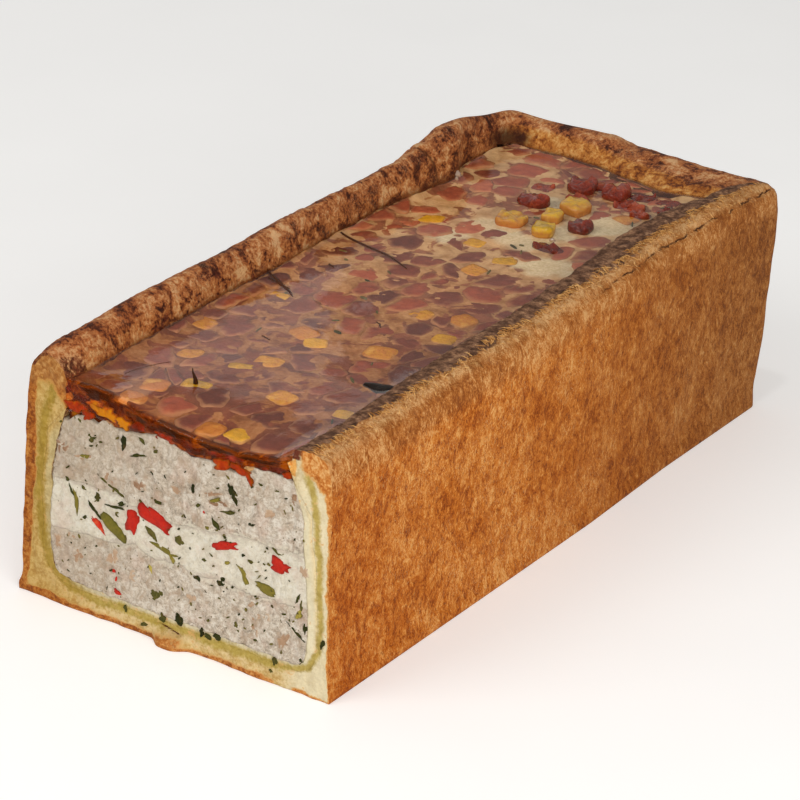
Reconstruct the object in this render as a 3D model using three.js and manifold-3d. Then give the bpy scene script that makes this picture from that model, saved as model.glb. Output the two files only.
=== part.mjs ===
// Pate en croute: a baked loaf with one end cut off, millimetres, +Z up.
// X runs across the loaf, Y along it, and the cut face looks towards -Y.
// The loaf rests on z = 0, and its box is centred on x = 0 and y = 0.
import * as THREE from 'three';
import { mergeVertices } from 'three/addons/utils/BufferGeometryUtils.js';
import Module from 'manifold-3d';

const wasm = await Module();
wasm.setup();

// ---------------------------------------------------------------- driving dimensions
const WALL_LEFT_X = -47.8;
const WALL_RIGHT_X = 46.0;
const WALL_LEFT_LEAN = 2.2;
const WALL_RIGHT_LEAN = 0.8;
const WALL_RIGHT_DRAW = 1.3;
const BACK_Y_AT_BASE = 103.2;
const BACK_Y_AT_TOP = 110.8;
const FRONT_Y = -116.0;
const CUT_Y_AT_BASE = -106.0;
const CUT_LEAN_PER_MM = 3.0 / 60;
const CORNER_RADIUS = 4.4;
const FLANGE_OUT = 1.3;
const WALL_TOP_Z = 56.0;

const FLOOR_Z = 5.5;
const LINING_TOP_Z = 48.6;
const SIDE_LINING = 2.2;
const FLOOR_LINING = 1.3;
const CAVITY_LEFT_X = -41.4;
const CAVITY_RIGHT_X = 42.3;
const CAVITY_BACK_Y = 99.0;
const CAVITY_LEFT_RADIUS = 10.0;
const CAVITY_RIGHT_RADIUS = 6.0;
const GAP = 0.3;

const CREST_INSET_LEFT = 5.0;
const CREST_INSET_BACK = 6.0;
const CREST_INSET_RIGHT = 5.4;

const FRONT_CREST_Z = 64.0;

const JELLY_FRONT_Z = 58.2;
const JELLY_BACK_Z = 61.6;
// The jelly creeps up the rim, and dips towards the cut over its last centimetre.
const CREEP_LEFT = 1.6;
const CREEP_RIGHT = 0.7;
const CREEP_LENGTH = 4.0;
const DIP_Y = -104.0;
const DIP_LENGTH = 8.5;
const DIP_POWER = 1.25;

const CHIP_PROUD = 0.4;
const CHIP_DEPTH = 1.4;
const PIECE_PROUD = 0.5;
const PIECE_DEPTH = 4.5;
const TOP_PIECE_HEIGHT = 5.6;
const TOP_PIECE_SIDES = 10;

// The torn tongue of dough at the foot of the cut, and the slit over it.
const TONGUE_X = -0.6;
const TONGUE_Y = -105.0;
const TONGUE_HALF_WIDTH = 5.6;
const TONGUE_HALF_DEPTH = 3.6;
const TONGUE_SIDES = 14;
const SLIT = { x: -1.4, z: 3.7, long: 7.2, high: 0.7, slant: -12, sides: 8, seed: 4 };
const SLIT_PROUD = 1.5;
const SLIT_DEPTH = 2.0;

// Heights of the rim's crest: along the left side and right side by y, along the back by x.
const LEFT_CREST = [[-106, 64.2], [-94, 66.4], [-66, 68.1], [-35, 68.6], [-4, 69.9], [30, 70.1],
  [44, 70.7], [56, 72.5], [68, 75.2], [80, 76.2], [96, 72.6]];
const BACK_CREST = [[-40, 70.4], [-30, 70.3], [-20, 69.7], [-10, 68.4], [0, 66.9], [12, 66.0],
  [26, 65.6], [40, 65.4]];
const RIGHT_CREST = [[-106, 61.4], [-70, 62.3], [-25, 63.8], [10, 65.0], [45, 66.0], [80, 66.6],
  [98, 65.8]];
// Where the rim meets the jelly: x by y on both long sides, y by x at the back.
const LEFT_FOOT = [[-106, -33.2], [-70, -34.8], [-35, -36.4], [-12, -36.0], [5, -37.2], [31, -37.9],
  [52, -36.2], [64, -34.4], [74, -38.4], [90, -38.6]];
const BACK_FOOT = [[-36, 96.6], [-22, 97.6], [-8, 95.6], [5, 91.8], [18, 88.8], [28, 90.6]];
const RIGHT_FOOT = [[-106, 33.9], [-80, 33.9], [-45, 32.6], [-10, 33.4], [15, 32.4], [42, 29.8],
  [62, 30.6], [85, 33.0]];
// Heights of the layer boundaries across the loaf, as the cut shows them.
const FARCE_TOP = [[-42, 49.4], [-35.7, 49.7], [-33.4, 51.6], [-30.6, 52.4], [-26.4, 51.1],
  [-24.1, 53.1], [-18.8, 51.4], [-4.1, 53.0], [5.0, 50.7], [11.1, 51.5], [20.7, 50.2],
  [23.6, 53.1], [33.6, 53.4], [44, 53.0]];
const MOUSSE_TOP = [[-44, 33.6], [-28.0, 34.4], [-17.0, 34.4], [-12.7, 33.0], [-5.7, 34.6],
  [-0.5, 32.2], [8.2, 33.2], [18.0, 34.7], [32.3, 35.2], [44, 36.2]];
const MOUSSE_BOTTOM = [[-44, 20.4], [-26.9, 21.0], [-18.1, 21.5], [-11.4, 23.0], [-7.8, 21.3],
  [2.2, 22.4], [5.4, 20.8], [14.5, 21.6], [20.6, 20.8], [31.0, 21.9], [44, 23.0]];

// Pieces that show in the cut and are big enough to stand alone: x, z, length, height, slant.
const CUT_PIECES = [
  { name: 'pepper_large', x: -5.6, z: 31.7, long: 9.4, high: 3.7, slant: -19, sides: 8, seed: 3 },
  { name: 'pepper_square', x: -12.9, z: 28.8, long: 3.8, high: 4.8, slant: -10, sides: 6, seed: 5 },
  { name: 'pepper_lens', x: 15.5, z: 31.4, long: 7.6, high: 2.5, slant: 13, sides: 8, seed: 8 },
  { name: 'pepper_block', x: 31.2, z: 31.0, long: 5.8, high: 3.2, slant: -6, sides: 6, seed: 2 },
  { name: 'bean_wedge', x: -18.8, z: 25.8, long: 9.8, high: 3.0, slant: -34, sides: 8, seed: 7 },
];
// Small chips of herb, bean and pepper fused to the cut: x, z, length, height, slant.
const MOUSSE_CHIPS = [
  [-23.7, 25.0, 5.8, 1.8, -41], [20.6, 25.8, 5.0, 1.8, -58], [27.6, 24.2, 6.8, 2.0, -8],
  [-3.1, 25.0, 7.6, 1.6, -14], [1.7, 28.6, 3.0, 2.2, -40], [-6.7, 26.9, 3.0, 1.5, -30],
  [-30.6, 27.6, 6.4, 1.2, -82], [12.2, 30.2, 1.8, 1.2, 10],
];
const UPPER_CHIPS = [
  [-26.0, 46.8, 2.6, 1.6, 10], [-16.0, 48.6, 3.4, 1.6, 82], [-9.4, 49.0, 3.2, 1.3, -16],
  [-10.8, 43.6, 5.0, 1.3, -18], [-28.0, 41.8, 3.6, 1.6, 16], [-20.6, 37.8, 7.4, 1.2, -18],
  [17.4, 45.4, 5.2, 1.8, -52], [5.3, 42.8, 2.6, 1.5, 60], [11.8, 42.2, 4.4, 1.6, 22],
  [14.8, 38.6, 3.0, 1.6, -24],
];
const LOWER_CHIPS = [
  [14.2, 18.6, 3.4, 2.6, -35], [-5.6, 12.4, 3.6, 3.2, 20], [2.0, 9.6, 3.8, 2.4, -58],
  [19.1, 12.6, 3.6, 1.6, -70], [-17.3, 10.6, 2.2, 1.8, -20], [34.6, 15.4, 4.6, 1.4, -28],
  [-33.0, 17.0, 2.8, 1.6, 70],
];
// Cubes and meat pieces that stand out of the jelly: x, y, width, depth, stand-out, turn.
const TOP_PIECES = [
  { name: 'cube_1', x: -5.0, y: 47.9, wide: 8.4, deep: 7.0, proud: 1.8, turn: 6, seed: 11 },
  { name: 'cube_2', x: 4.9, y: 65.0, wide: 7.8, deep: 7.6, proud: 2.4, turn: -8, seed: 12 },
  { name: 'cube_3', x: 2.9, y: 56.3, wide: 5.4, deep: 6.2, proud: 1.8, turn: 12, seed: 13 },
  { name: 'cube_4', x: 6.3, y: 46.3, wide: 6.2, deep: 6.4, proud: 2.2, turn: 20, seed: 14 },
  { name: 'meat_1', x: -7.8, y: 63.4, wide: 9.4, deep: 6.6, proud: 1.6, turn: -10, seed: 15 },
  { name: 'meat_2', x: -2.6, y: 80.6, wide: 8.0, deep: 8.4, proud: 1.8, turn: 14, seed: 16 },
  { name: 'meat_3', x: 7.9, y: 81.3, wide: 7.4, deep: 8.0, proud: 2.0, turn: -6, seed: 17 },
  { name: 'meat_4', x: 13.0, y: 54.6, wide: 6.6, deep: 6.4, proud: 1.8, turn: 8, seed: 18 },
];
// Where the jelly's top meets the cut: height by x.
const JELLY_EDGE = [[-33.5, 60.6], [-24.0, 60.5], [-16.0, 59.5], [-9.0, 57.2], [0.0, 56.0],
  [9.0, 55.4], [18.0, 56.0], [27.0, 56.8], [33.0, 58.8], [35.0, 59.6]];

// ---------------------------------------------------------------- small helpers
const clamp01 = (t) => Math.min(1, Math.max(0, t));
const lerp = (a, b, t) => a + (b - a) * t;

// Smooth value of a table of [position, value] pairs.
function along(table, position) {
  if (position <= table[0][0]) return table[0][1];
  for (let i = 1; i < table.length; i += 1) {
    if (position <= table[i][0]) {
      const t = (position - table[i - 1][0]) / (table[i][0] - table[i - 1][0]);
      return lerp(table[i - 1][1], table[i][1], t * t * (3 - 2 * t));
    }
  }
  return table[table.length - 1][1];
}

// Repeatable noise between -1 and 1 from a hash of the lattice corners.
function hash(i, j, k) {
  const s = Math.sin(i * 127.1 + j * 311.7 + k * 74.7) * 43758.5453;
  return 2 * (s - Math.floor(s)) - 1;
}

function noise(x, y, z) {
  const cell = [Math.floor(x), Math.floor(y), Math.floor(z)];
  const f = [x - cell[0], y - cell[1], z - cell[2]].map((t) => t * t * (3 - 2 * t));
  let sum = 0;
  for (let c = 0; c < 8; c += 1) {
    const o = [c & 1, (c >> 1) & 1, (c >> 2) & 1];
    const w = o.reduce((p, bit, a) => p * (bit ? f[a] : 1 - f[a]), 1);
    sum += w * hash(cell[0] + o[0], cell[1] + o[1], cell[2] + o[2]);
  }
  return sum;
}

const cutY = (z) => CUT_Y_AT_BASE + CUT_LEAN_PER_MM * z;

// Closed solid from rings of equal count, each anticlockwise seen from above, bottom first.
function loft(rings) {
  const n = rings[0].length;
  const positions = [];
  const faces = [];
  rings.forEach((ring) => ring.forEach((p) => positions.push(p[0], p[1], p[2])));
  for (let k = 0; k < rings.length - 1; k += 1) {
    for (let i = 0; i < n; i += 1) {
      const j = (i + 1) % n;
      const a = k * n + i;
      const b = k * n + j;
      faces.push(a, b, b + n, a, b + n, a + n);
    }
  }
  [0, rings.length - 1].forEach((k, top) => {
    const centre = positions.length / 3;
    const mean = [0, 1, 2].map((axis) => rings[k].reduce((s, p) => s + p[axis], 0) / n);
    positions.push(...mean);
    for (let i = 0; i < n; i += 1) {
      const j = (i + 1) % n;
      if (top) faces.push(centre, k * n + i, k * n + j);
      else faces.push(centre, k * n + j, k * n + i);
    }
  });
  const geometry = new THREE.BufferGeometry();
  geometry.setAttribute('position', new THREE.Float32BufferAttribute(positions, 3));
  geometry.setIndex(faces);
  return geometry;
}

function toSolid(geometry) {
  const plain = geometry.clone();
  plain.deleteAttribute('normal');
  plain.deleteAttribute('uv');
  const merged = mergeVertices(plain, 1e-4);
  return new wasm.Manifold(new wasm.Mesh({
    numProp: 3,
    vertProperties: new Float32Array(merged.attributes.position.array),
    triVerts: new Uint32Array(merged.index.array),
  }));
}

function toGeometry(solid) {
  const mesh = solid.getMesh();
  const geometry = new THREE.BufferGeometry();
  geometry.setAttribute('position', new THREE.Float32BufferAttribute(mesh.vertProperties, 3));
  geometry.setIndex(Array.from(mesh.triVerts));
  return geometry;
}

// ---------------------------------------------------------------- outlines in plan
// Slots run anticlockwise from the front left: four sides with a corner after each.
const SIDE_SLOTS = [
  { side: 'front', steps: 5, corner: 2 },
  { side: 'right', steps: 34, corner: 4 },
  { side: 'back', steps: 16, corner: 4 },
  { side: 'left', steps: 34, corner: 2 },
];
const COARSE_SLOTS = [
  { side: 'front', steps: 1, corner: 1 },
  { side: 'right', steps: 13, corner: 2 },
  { side: 'back', steps: 7, corner: 2 },
  { side: 'left', steps: 13, corner: 1 },
];

function slots(sides) {
  const list = [];
  sides.forEach((entry, s) => {
    const next = sides[(s + 1) % sides.length].side;
    for (let i = 0; i <= entry.steps; i += 1) {
      list.push({ index: s, side: entry.side, next, t: i / entry.steps, turn: 0, corner: false });
    }
    for (let i = 1; i <= entry.corner; i += 1) {
      const turn = i / (entry.corner + 1);
      list.push({ index: s, side: entry.side, next, t: 1, turn, corner: true });
    }
  });
  return list;
}

// Point of a rounded rectangle for one slot.
function outlinePoint(slot, x0, x1, y0, y1, radius) {
  const r = Math.max(radius, 0.4);
  const corners = [[x1 - r, y0 + r], [x1 - r, y1 - r], [x0 + r, y1 - r], [x0 + r, y0 + r]];
  const start = [[x0 + r, y0], [x1, y0 + r], [x1 - r, y1], [x0, y1 - r]][slot.index];
  const end = [[x1 - r, y0], [x1, y1 - r], [x0 + r, y1], [x0, y0 + r]][slot.index];
  if (!slot.corner) return [lerp(start[0], end[0], slot.t), lerp(start[1], end[1], slot.t)];
  const angle = (-90 + 90 * slot.index + 90 * slot.turn) * Math.PI / 180;
  const centre = corners[slot.index];
  return [centre[0] + r * Math.cos(angle), centre[1] + r * Math.sin(angle)];
}

// Blend of one value per side, so that corners pass smoothly from side to side.
function sideBlend(slot, values) {
  return lerp(values[slot.side], values[slot.next], slot.corner ? slot.turn : 0);
}

// ---------------------------------------------------------------- crust
const leftX = (z) => WALL_LEFT_X + WALL_LEFT_LEAN * clamp01((z - 8) / 50) ** 1.8;
const rightX = (z) => WALL_RIGHT_X - WALL_RIGHT_LEAN * clamp01(z / 30);
// The long right wall draws in a little past the middle, most near the base.
const drawIn = (y, z) => WALL_RIGHT_DRAW * clamp01((y - 10) / 40) * (1 - 0.7 * clamp01(z / 40));
const backY = (z) => lerp(BACK_Y_AT_BASE, BACK_Y_AT_TOP, clamp01(z / 50) ** 0.7);

function outerPoint(slot, z, inset, front) {
  const radius = CORNER_RADIUS - inset * 0.6;
  const point = outlinePoint(slot, leftX(z) + inset, rightX(z) - inset, FRONT_Y + front,
    backY(z) - inset, radius);
  return [point[0] - drawIn(point[1], z) * clamp01(point[0] / 30), point[1]];
}

function footPoint(slot) {
  const base = outlinePoint(slot, -36, 32, FRONT_Y + 8, 95, 3);
  if (slot.corner) {
    const left = [along(LEFT_FOOT, 88), along(BACK_FOOT, -36)];
    const right = [along(RIGHT_FOOT, 85), along(BACK_FOOT, 28)];
    if (slot.side === 'back') return outlinePoint(slot, left[0], right[0], FRONT_Y + 8, left[1], 4);
    if (slot.side === 'right') return outlinePoint(slot, left[0], right[0], FRONT_Y + 8, right[1], 4);
    return base;
  }
  if (slot.side === 'left') {
    const y = lerp(along(BACK_FOOT, -36) - 4, FRONT_Y + 11, slot.t);
    return [along(LEFT_FOOT, y), y];
  }
  if (slot.side === 'right') {
    const y = lerp(FRONT_Y + 11, along(BACK_FOOT, 28) - 4, slot.t);
    return [along(RIGHT_FOOT, y), y];
  }
  if (slot.side === 'back') {
    const x = lerp(along(RIGHT_FOOT, 85) - 4, along(LEFT_FOOT, 88) + 4, slot.t);
    return [x, along(BACK_FOOT, x)];
  }
  return base;
}

function crestHeight(slot, x, y) {
  const values = {
    left: along(LEFT_CREST, y),
    back: along(BACK_CREST, x),
    right: along(RIGHT_CREST, y),
    front: FRONT_CREST_Z,
  };
  return sideBlend(slot, values);
}

const jellyLevel = (y) => lerp(JELLY_FRONT_Z, JELLY_BACK_Z, clamp01((y + 103) / 206));

// Uneven baked surface: broad swells, with stronger lumps on the rim.
function bump(x, y, z, size) {
  return size * (0.6 * noise(x / 13, y / 13, z / 11) + 0.4 * noise(x / 5 + 9, y / 5, z / 5));
}

// The rim's section from the outer wall to the jelly: for each side, how far in towards the
// crest or the foot, and how much of the height to the jelly is already lost.
const RIM_OUTER = [
  { inset: 0.3, drop: 7.2 },
  { inset: 1.0, drop: 3.2 },
  { inset: 2.8, drop: 0.8 },
];
const RIM_INNER = {
  left: [[0, 0], [0.3, 0.04], [0.58, 0.2], [0.82, 0.52], [1.0, 1.0], [1.2, 1.3]],
  back: [[0, 0], [0.3, 0.06], [0.58, 0.26], [0.82, 0.6], [1.0, 1.0], [1.2, 1.3]],
  right: [[0, 0], [0.35, -0.02], [0.7, 0.0], [0.93, 0.14], [1.0, 0.9], [1.3, 1.3]],
  front: [[0, 0], [0.35, 0.05], [0.6, 0.2], [0.85, 0.5], [1.0, 1.0], [1.2, 1.3]],
};

function crustBlock() {
  const list = slots(SIDE_SLOTS);
  const rings = [];
  const wallLevels = [
    { z: 0, inset: -FLANGE_OUT },
    { z: 1.5, inset: -FLANGE_OUT * 0.9 },
    { z: 4.2, inset: -0.1 },
    { z: 12, inset: 0 },
    { z: 22, inset: 0 },
    { z: 32, inset: 0 },
    { z: 42, inset: 0 },
    { z: 50, inset: 0 },
  ];
  wallLevels.forEach(({ z, inset }) => {
    rings.push(list.map((slot) => {
      const flange = inset < 0 ? sideBlend(slot, { left: 1, back: 0.3, right: 0.5, front: 0 }) : 1;
      const foot = inset * flange;
      const [x, y] = outerPoint(slot, z, foot, 0);
      const push = z > 0 ? bump(x, y, z, 0.55) : 0;
      const [px, py] = outerPoint(slot, z, foot + push, 0);
      return [px, py, z];
    }));
  });
  RIM_OUTER.forEach(({ inset, drop }) => {
    rings.push(list.map((slot) => {
      const [x, y] = outerPoint(slot, WALL_TOP_Z, inset, 0);
      const crest = crestHeight(slot, x, y);
      const lump = bump(x, y, crest, 0.7);
      const [px, py] = outerPoint(slot, WALL_TOP_Z, inset + lump * 0.6, 0);
      return [px, py, crest - drop + lump * 0.8];
    }));
  });
  const crestInset = {
    left: CREST_INSET_LEFT, back: CREST_INSET_BACK, right: CREST_INSET_RIGHT, front: 3,
  };
  RIM_INNER.left.forEach((unused, k) => {
    rings.push(list.map((slot) => {
      const inset = sideBlend(slot, crestInset);
      const from = outerPoint(slot, WALL_TOP_Z, inset, 0);
      const to = footPoint(slot);
      const share = {};
      const fall = {};
      Object.keys(RIM_INNER).forEach((side) => {
        share[side] = RIM_INNER[side][k][0];
        fall[side] = RIM_INNER[side][k][1];
      });
      const s = sideBlend(slot, share);
      const d = sideBlend(slot, fall);
      const x = lerp(from[0], to[0], s);
      const y = lerp(from[1], to[1], s);
      const crest = crestHeight(slot, from[0], from[1]);
      const jelly = jellyLevel(y);
      const lump = k < 4 ? bump(x, y, crest, 0.8) : 0;
      return [x, y, lerp(crest, jelly, d) + lump];
    }));
  });
  return toSolid(loft(rings));
}

// Inner walls by height: the cavity for the lining, and the core inside it.
const CAVITY_LEFT = [[0, CAVITY_LEFT_X], [30, CAVITY_LEFT_X], [LINING_TOP_Z, CAVITY_LEFT_X + 1.7]];
const CAVITY_RIGHT = [[0, CAVITY_RIGHT_X], [22, CAVITY_RIGHT_X], [LINING_TOP_Z, CAVITY_RIGHT_X - 2.8]];
const CORE_TOP_LEFT = [[44, -37.0], [51, -34.9], [54, -33.8]];
const CORE_TOP_RIGHT = [[44, 37.8], [51, 35.4], [54, 33.6]];

function roundIn(z, floor, radius) {
  const left = floor + radius - z;
  return left <= 0 ? 0 : radius - Math.sqrt(Math.max(0, radius * radius - left * left));
}

// One ring of the inner space at height z, inset evenly by extra.
function innerRing(list, z, floor, extra, upper, radiusCut) {
  const leftRound = roundIn(z, floor, CAVITY_LEFT_RADIUS - radiusCut);
  const rightRound = roundIn(z, floor, CAVITY_RIGHT_RADIUS - radiusCut);
  return list.map((slot) => {
    let x0 = along(CAVITY_LEFT, z) + leftRound + extra;
    let x1 = along(CAVITY_RIGHT, z) - rightRound - extra;
    let y1 = CAVITY_BACK_Y - rightRound - extra;
    if (upper) {
      x0 = along(CORE_TOP_LEFT, z) + extra;
      x1 = along(CORE_TOP_RIGHT, z) - extra;
      y1 = CAVITY_BACK_Y - SIDE_LINING - 2 * GAP - extra;
    }
    const plain = outlinePoint(slot, x0, x1, FRONT_Y - 4, y1, 2.4);
    if (!upper) return [plain[0], plain[1], z];
    const foot = footPoint(slot);
    const share = clamp01((z - 51) / 5);
    const nearX = foot[0] - Math.sign(foot[0]) * extra;
    const nearY = slot.side === 'front' || foot[1] < -100 ? plain[1] : foot[1] - extra;
    return [lerp(plain[0], nearX, share), lerp(plain[1], nearY, share), z];
  });
}

// Space inside the crust, kept clear of it by extra on every side.
function cavity(extra) {
  const list = slots(COARSE_SLOTS);
  const floor = FLOOR_Z + extra;
  const ledge = LINING_TOP_Z - extra;
  const rings = [];
  [0, 0.8, 2.4, 5.0, 10.0, 18, 30].forEach((up) => {
    rings.push(innerRing(list, floor + up, floor, extra, false, extra));
  });
  rings.push(innerRing(list, ledge, floor, extra, false, extra));
  [ledge + 0.02, 51, 53, 56, 80].forEach((z) => {
    rings.push(innerRing(list, z, floor, extra, true, extra));
  });
  return toSolid(loft(rings));
}

// Space inside the lining, kept clear of it by extra on every side.
function core(extra) {
  const list = slots(COARSE_SLOTS);
  const side = SIDE_LINING + GAP + extra;
  const floor = FLOOR_Z + FLOOR_LINING + GAP + extra;
  const rings = [];
  [0, 0.7, 2.2, 4.6, 9.0, 17, 30].forEach((up) => {
    rings.push(innerRing(list, floor + up, floor, side, false, 2 + extra));
  });
  rings.push(innerRing(list, 44, floor, extra, true, 0));
  [51, 53, 56, 80].forEach((z) => {
    rings.push(innerRing(list, z, floor, extra, true, 0));
  });
  return toSolid(loft(rings));
}

// Block between two height rules, given on a grid over the loaf.
function slab(bottom, top, xSteps, ySteps) {
  const xs = xSteps.length;
  const ys = ySteps.length;
  const positions = [];
  const faces = [];
  [bottom, top].forEach((height) => {
    ySteps.forEach((y) => xSteps.forEach((x) => positions.push(x, y, height(x, y))));
  });
  const at = (layer, j, i) => layer * xs * ys + j * xs + i;
  for (let j = 0; j < ys - 1; j += 1) {
    for (let i = 0; i < xs - 1; i += 1) {
      faces.push(at(0, j, i), at(0, j + 1, i), at(0, j + 1, i + 1));
      faces.push(at(0, j, i), at(0, j + 1, i + 1), at(0, j, i + 1));
      faces.push(at(1, j, i), at(1, j, i + 1), at(1, j + 1, i + 1));
      faces.push(at(1, j, i), at(1, j + 1, i + 1), at(1, j + 1, i));
    }
  }
  for (let i = 0; i < xs - 1; i += 1) {
    faces.push(at(0, 0, i), at(0, 0, i + 1), at(1, 0, i + 1));
    faces.push(at(0, 0, i), at(1, 0, i + 1), at(1, 0, i));
    faces.push(at(0, ys - 1, i), at(1, ys - 1, i + 1), at(0, ys - 1, i + 1));
    faces.push(at(0, ys - 1, i), at(1, ys - 1, i), at(1, ys - 1, i + 1));
  }
  for (let j = 0; j < ys - 1; j += 1) {
    faces.push(at(0, j, 0), at(1, j + 1, 0), at(0, j + 1, 0));
    faces.push(at(0, j, 0), at(1, j, 0), at(1, j + 1, 0));
    faces.push(at(0, j, xs - 1), at(0, j + 1, xs - 1), at(1, j + 1, xs - 1));
    faces.push(at(0, j, xs - 1), at(1, j + 1, xs - 1), at(1, j, xs - 1));
  }
  const geometry = new THREE.BufferGeometry();
  geometry.setAttribute('position', new THREE.Float32BufferAttribute(positions, 3));
  geometry.setIndex(faces);
  return toSolid(geometry);
}

function steps(from, to, count) {
  return Array.from({ length: count + 1 }, (unused, i) => lerp(from, to, i / count));
}

// Everything in front of the cut, with a torn surface of the given roughness.
function frontCutter(cell, rough, seed) {
  const xs = steps(-56, 56, Math.round(112 / cell));
  const zs = steps(-4, 84, Math.round(88 / cell));
  const positions = [];
  const faces = [];
  const deep = FRONT_Y - 20;
  zs.forEach((z) => xs.forEach((x) => positions.push(x, deep, z)));
  zs.forEach((z) => xs.forEach((x) => {
    const torn = rough * (0.6 * noise(x / 6, seed, z / 5) + 0.4 * noise(x / 2.6, seed + 5, z / 2.6));
    positions.push(x, cutY(z) + torn, z);
  }));
  const nx = xs.length;
  const nz = zs.length;
  const at = (layer, k, i) => layer * nx * nz + k * nx + i;
  for (let k = 0; k < nz - 1; k += 1) {
    for (let i = 0; i < nx - 1; i += 1) {
      faces.push(at(0, k, i), at(0, k, i + 1), at(0, k + 1, i + 1));
      faces.push(at(0, k, i), at(0, k + 1, i + 1), at(0, k + 1, i));
      faces.push(at(1, k, i), at(1, k + 1, i + 1), at(1, k, i + 1));
      faces.push(at(1, k, i), at(1, k + 1, i), at(1, k + 1, i + 1));
    }
  }
  for (let i = 0; i < nx - 1; i += 1) {
    faces.push(at(0, 0, i), at(1, 0, i + 1), at(0, 0, i + 1));
    faces.push(at(0, 0, i), at(1, 0, i), at(1, 0, i + 1));
    faces.push(at(0, nz - 1, i), at(0, nz - 1, i + 1), at(1, nz - 1, i + 1));
    faces.push(at(0, nz - 1, i), at(1, nz - 1, i + 1), at(1, nz - 1, i));
  }
  for (let k = 0; k < nz - 1; k += 1) {
    faces.push(at(0, k, 0), at(0, k + 1, 0), at(1, k + 1, 0));
    faces.push(at(0, k, 0), at(1, k + 1, 0), at(1, k, 0));
    faces.push(at(0, k, nx - 1), at(1, k + 1, nx - 1), at(0, k + 1, nx - 1));
    faces.push(at(0, k, nx - 1), at(1, k, nx - 1), at(1, k + 1, nx - 1));
  }
  const geometry = new THREE.BufferGeometry();
  geometry.setAttribute('position', new THREE.Float32BufferAttribute(positions, 3));
  geometry.setIndex(faces);
  return toSolid(geometry);
}

// Irregular flat piece standing in the cut, its outline in the XZ plane, grown by extra.
function cutPiece({ x, z, long, high, slant, sides, seed }, proud, depth, extra) {
  const shape = new THREE.Shape();
  for (let i = 0; i < sides; i += 1) {
    const angle = (i + 0.5) / sides * Math.PI * 2;
    const wobble = 1 + 0.14 * hash(seed, i, 1);
    const px = Math.sign(Math.cos(angle)) * Math.abs(Math.cos(angle)) ** 0.7 * (long / 2 + extra) * wobble;
    const pz = Math.sign(Math.sin(angle)) * Math.abs(Math.sin(angle)) ** 0.7 * (high / 2 + extra) * wobble;
    if (i === 0) shape.moveTo(px, pz);
    else shape.lineTo(px, pz);
  }
  const geometry = new THREE.ExtrudeGeometry(shape, {
    depth: proud + depth + extra, bevelEnabled: false, steps: 1, curveSegments: 1,
  });
  geometry.rotateZ(slant * Math.PI / 180);
  geometry.rotateX(Math.PI / 2);
  geometry.translate(x, cutY(z) + depth + extra, z);
  return toSolid(geometry);
}

// Rounded block standing in the jelly, grown by extra.
function topPiece({ x, y, wide, deep, proud, turn, seed }, extra) {
  const level = jellyLevel(y);
  const rings = [];
  const stack = [[0.72, 0], [0.97, 0.16], [1.0, 0.5], [0.95, 0.84], [0.78, 1]];
  stack.forEach(([size, up]) => {
    const ring = [];
    for (let i = 0; i < TOP_PIECE_SIDES; i += 1) {
      const a = i / TOP_PIECE_SIDES * Math.PI * 2;
      const wobble = 1 + 0.07 * hash(seed, i, 2);
      const c = Math.sign(Math.cos(a)) * Math.abs(Math.cos(a)) ** 0.62;
      const s = Math.sign(Math.sin(a)) * Math.abs(Math.sin(a)) ** 0.62;
      const px = c * (wide / 2 * size * wobble + extra);
      const py = s * (deep / 2 * size * wobble + extra);
      const rad = turn * Math.PI / 180;
      const top = level + proud + extra;
      const bottom = level + proud - TOP_PIECE_HEIGHT - extra;
      const tilt = up === 1 ? 0.5 * hash(seed, 7, 7) * px / wide : 0;
      ring.push([
        x + px * Math.cos(rad) - py * Math.sin(rad),
        y + px * Math.sin(rad) + py * Math.cos(rad),
        lerp(bottom, top, up) + tilt,
      ]);
    }
    rings.push(ring);
  });
  return toSolid(loft(rings));
}

// ---------------------------------------------------------------- the nodes
const crustCutter = frontCutter(7.0, 0.5, 3);
const fillingCutter = frontCutter(4.8, 0.55, 11);
const liningCutter = frontCutter(11, 0.4, 23);
const jellyCutter = frontCutter(4.4, 0.7, 17);

function tongue() {
  const rings = [[0.98, 0], [1.0, 0.7], [0.86, 2.0], [0.45, 2.9]].map(([size, z]) => {
    const ring = [];
    for (let i = 0; i < TONGUE_SIDES; i += 1) {
      const a = i / TONGUE_SIDES * Math.PI * 2;
      const x = TONGUE_X + TONGUE_HALF_WIDTH * size * Math.cos(a);
      const y = TONGUE_Y + TONGUE_HALF_DEPTH * size * Math.sin(a);
      ring.push([x, y, z]);
    }
    return ring;
  });
  return toSolid(loft(rings));
}

// The main body of a solid, without loose scraps left by a cut.
function mainBody(solid) {
  const volume = (body) => body.volume();
  return solid.decompose().reduce((best, body) => (volume(body) > volume(best) ? body : best));
}

function crustSolid() {
  const hollow = cavity(0);
  const cut = crustBlock().subtract(hollow).subtract(crustCutter);
  return mainBody(cut.add(tongue()).subtract(cutPiece(SLIT, SLIT_PROUD, SLIT_DEPTH, 0)));
}

function liningSolid() {
  const below = slab(() => -3, () => LINING_TOP_Z - GAP, [-70, 70], [-140, 140]);
  return cavity(GAP).intersect(below).subtract(core(0)).subtract(liningCutter);
}

const acrossSteps = steps(-60, 60, 30);
const lengthSteps = [-140, 140];
const farceTop = (x, y) => along(FARCE_TOP, x) + 0.3 * noise(x / 4, 2, 0.5);
const mousseTop = (x, y) => along(MOUSSE_TOP, x) + 0.25 * noise(x / 4, 7, 0.5);
const mousseBottom = (x, y) => along(MOUSSE_BOTTOM, x) + 0.25 * noise(x / 4, 12, 0.5);
const moved = (rule, by) => (x, y) => rule(x, y) + by;

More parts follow.
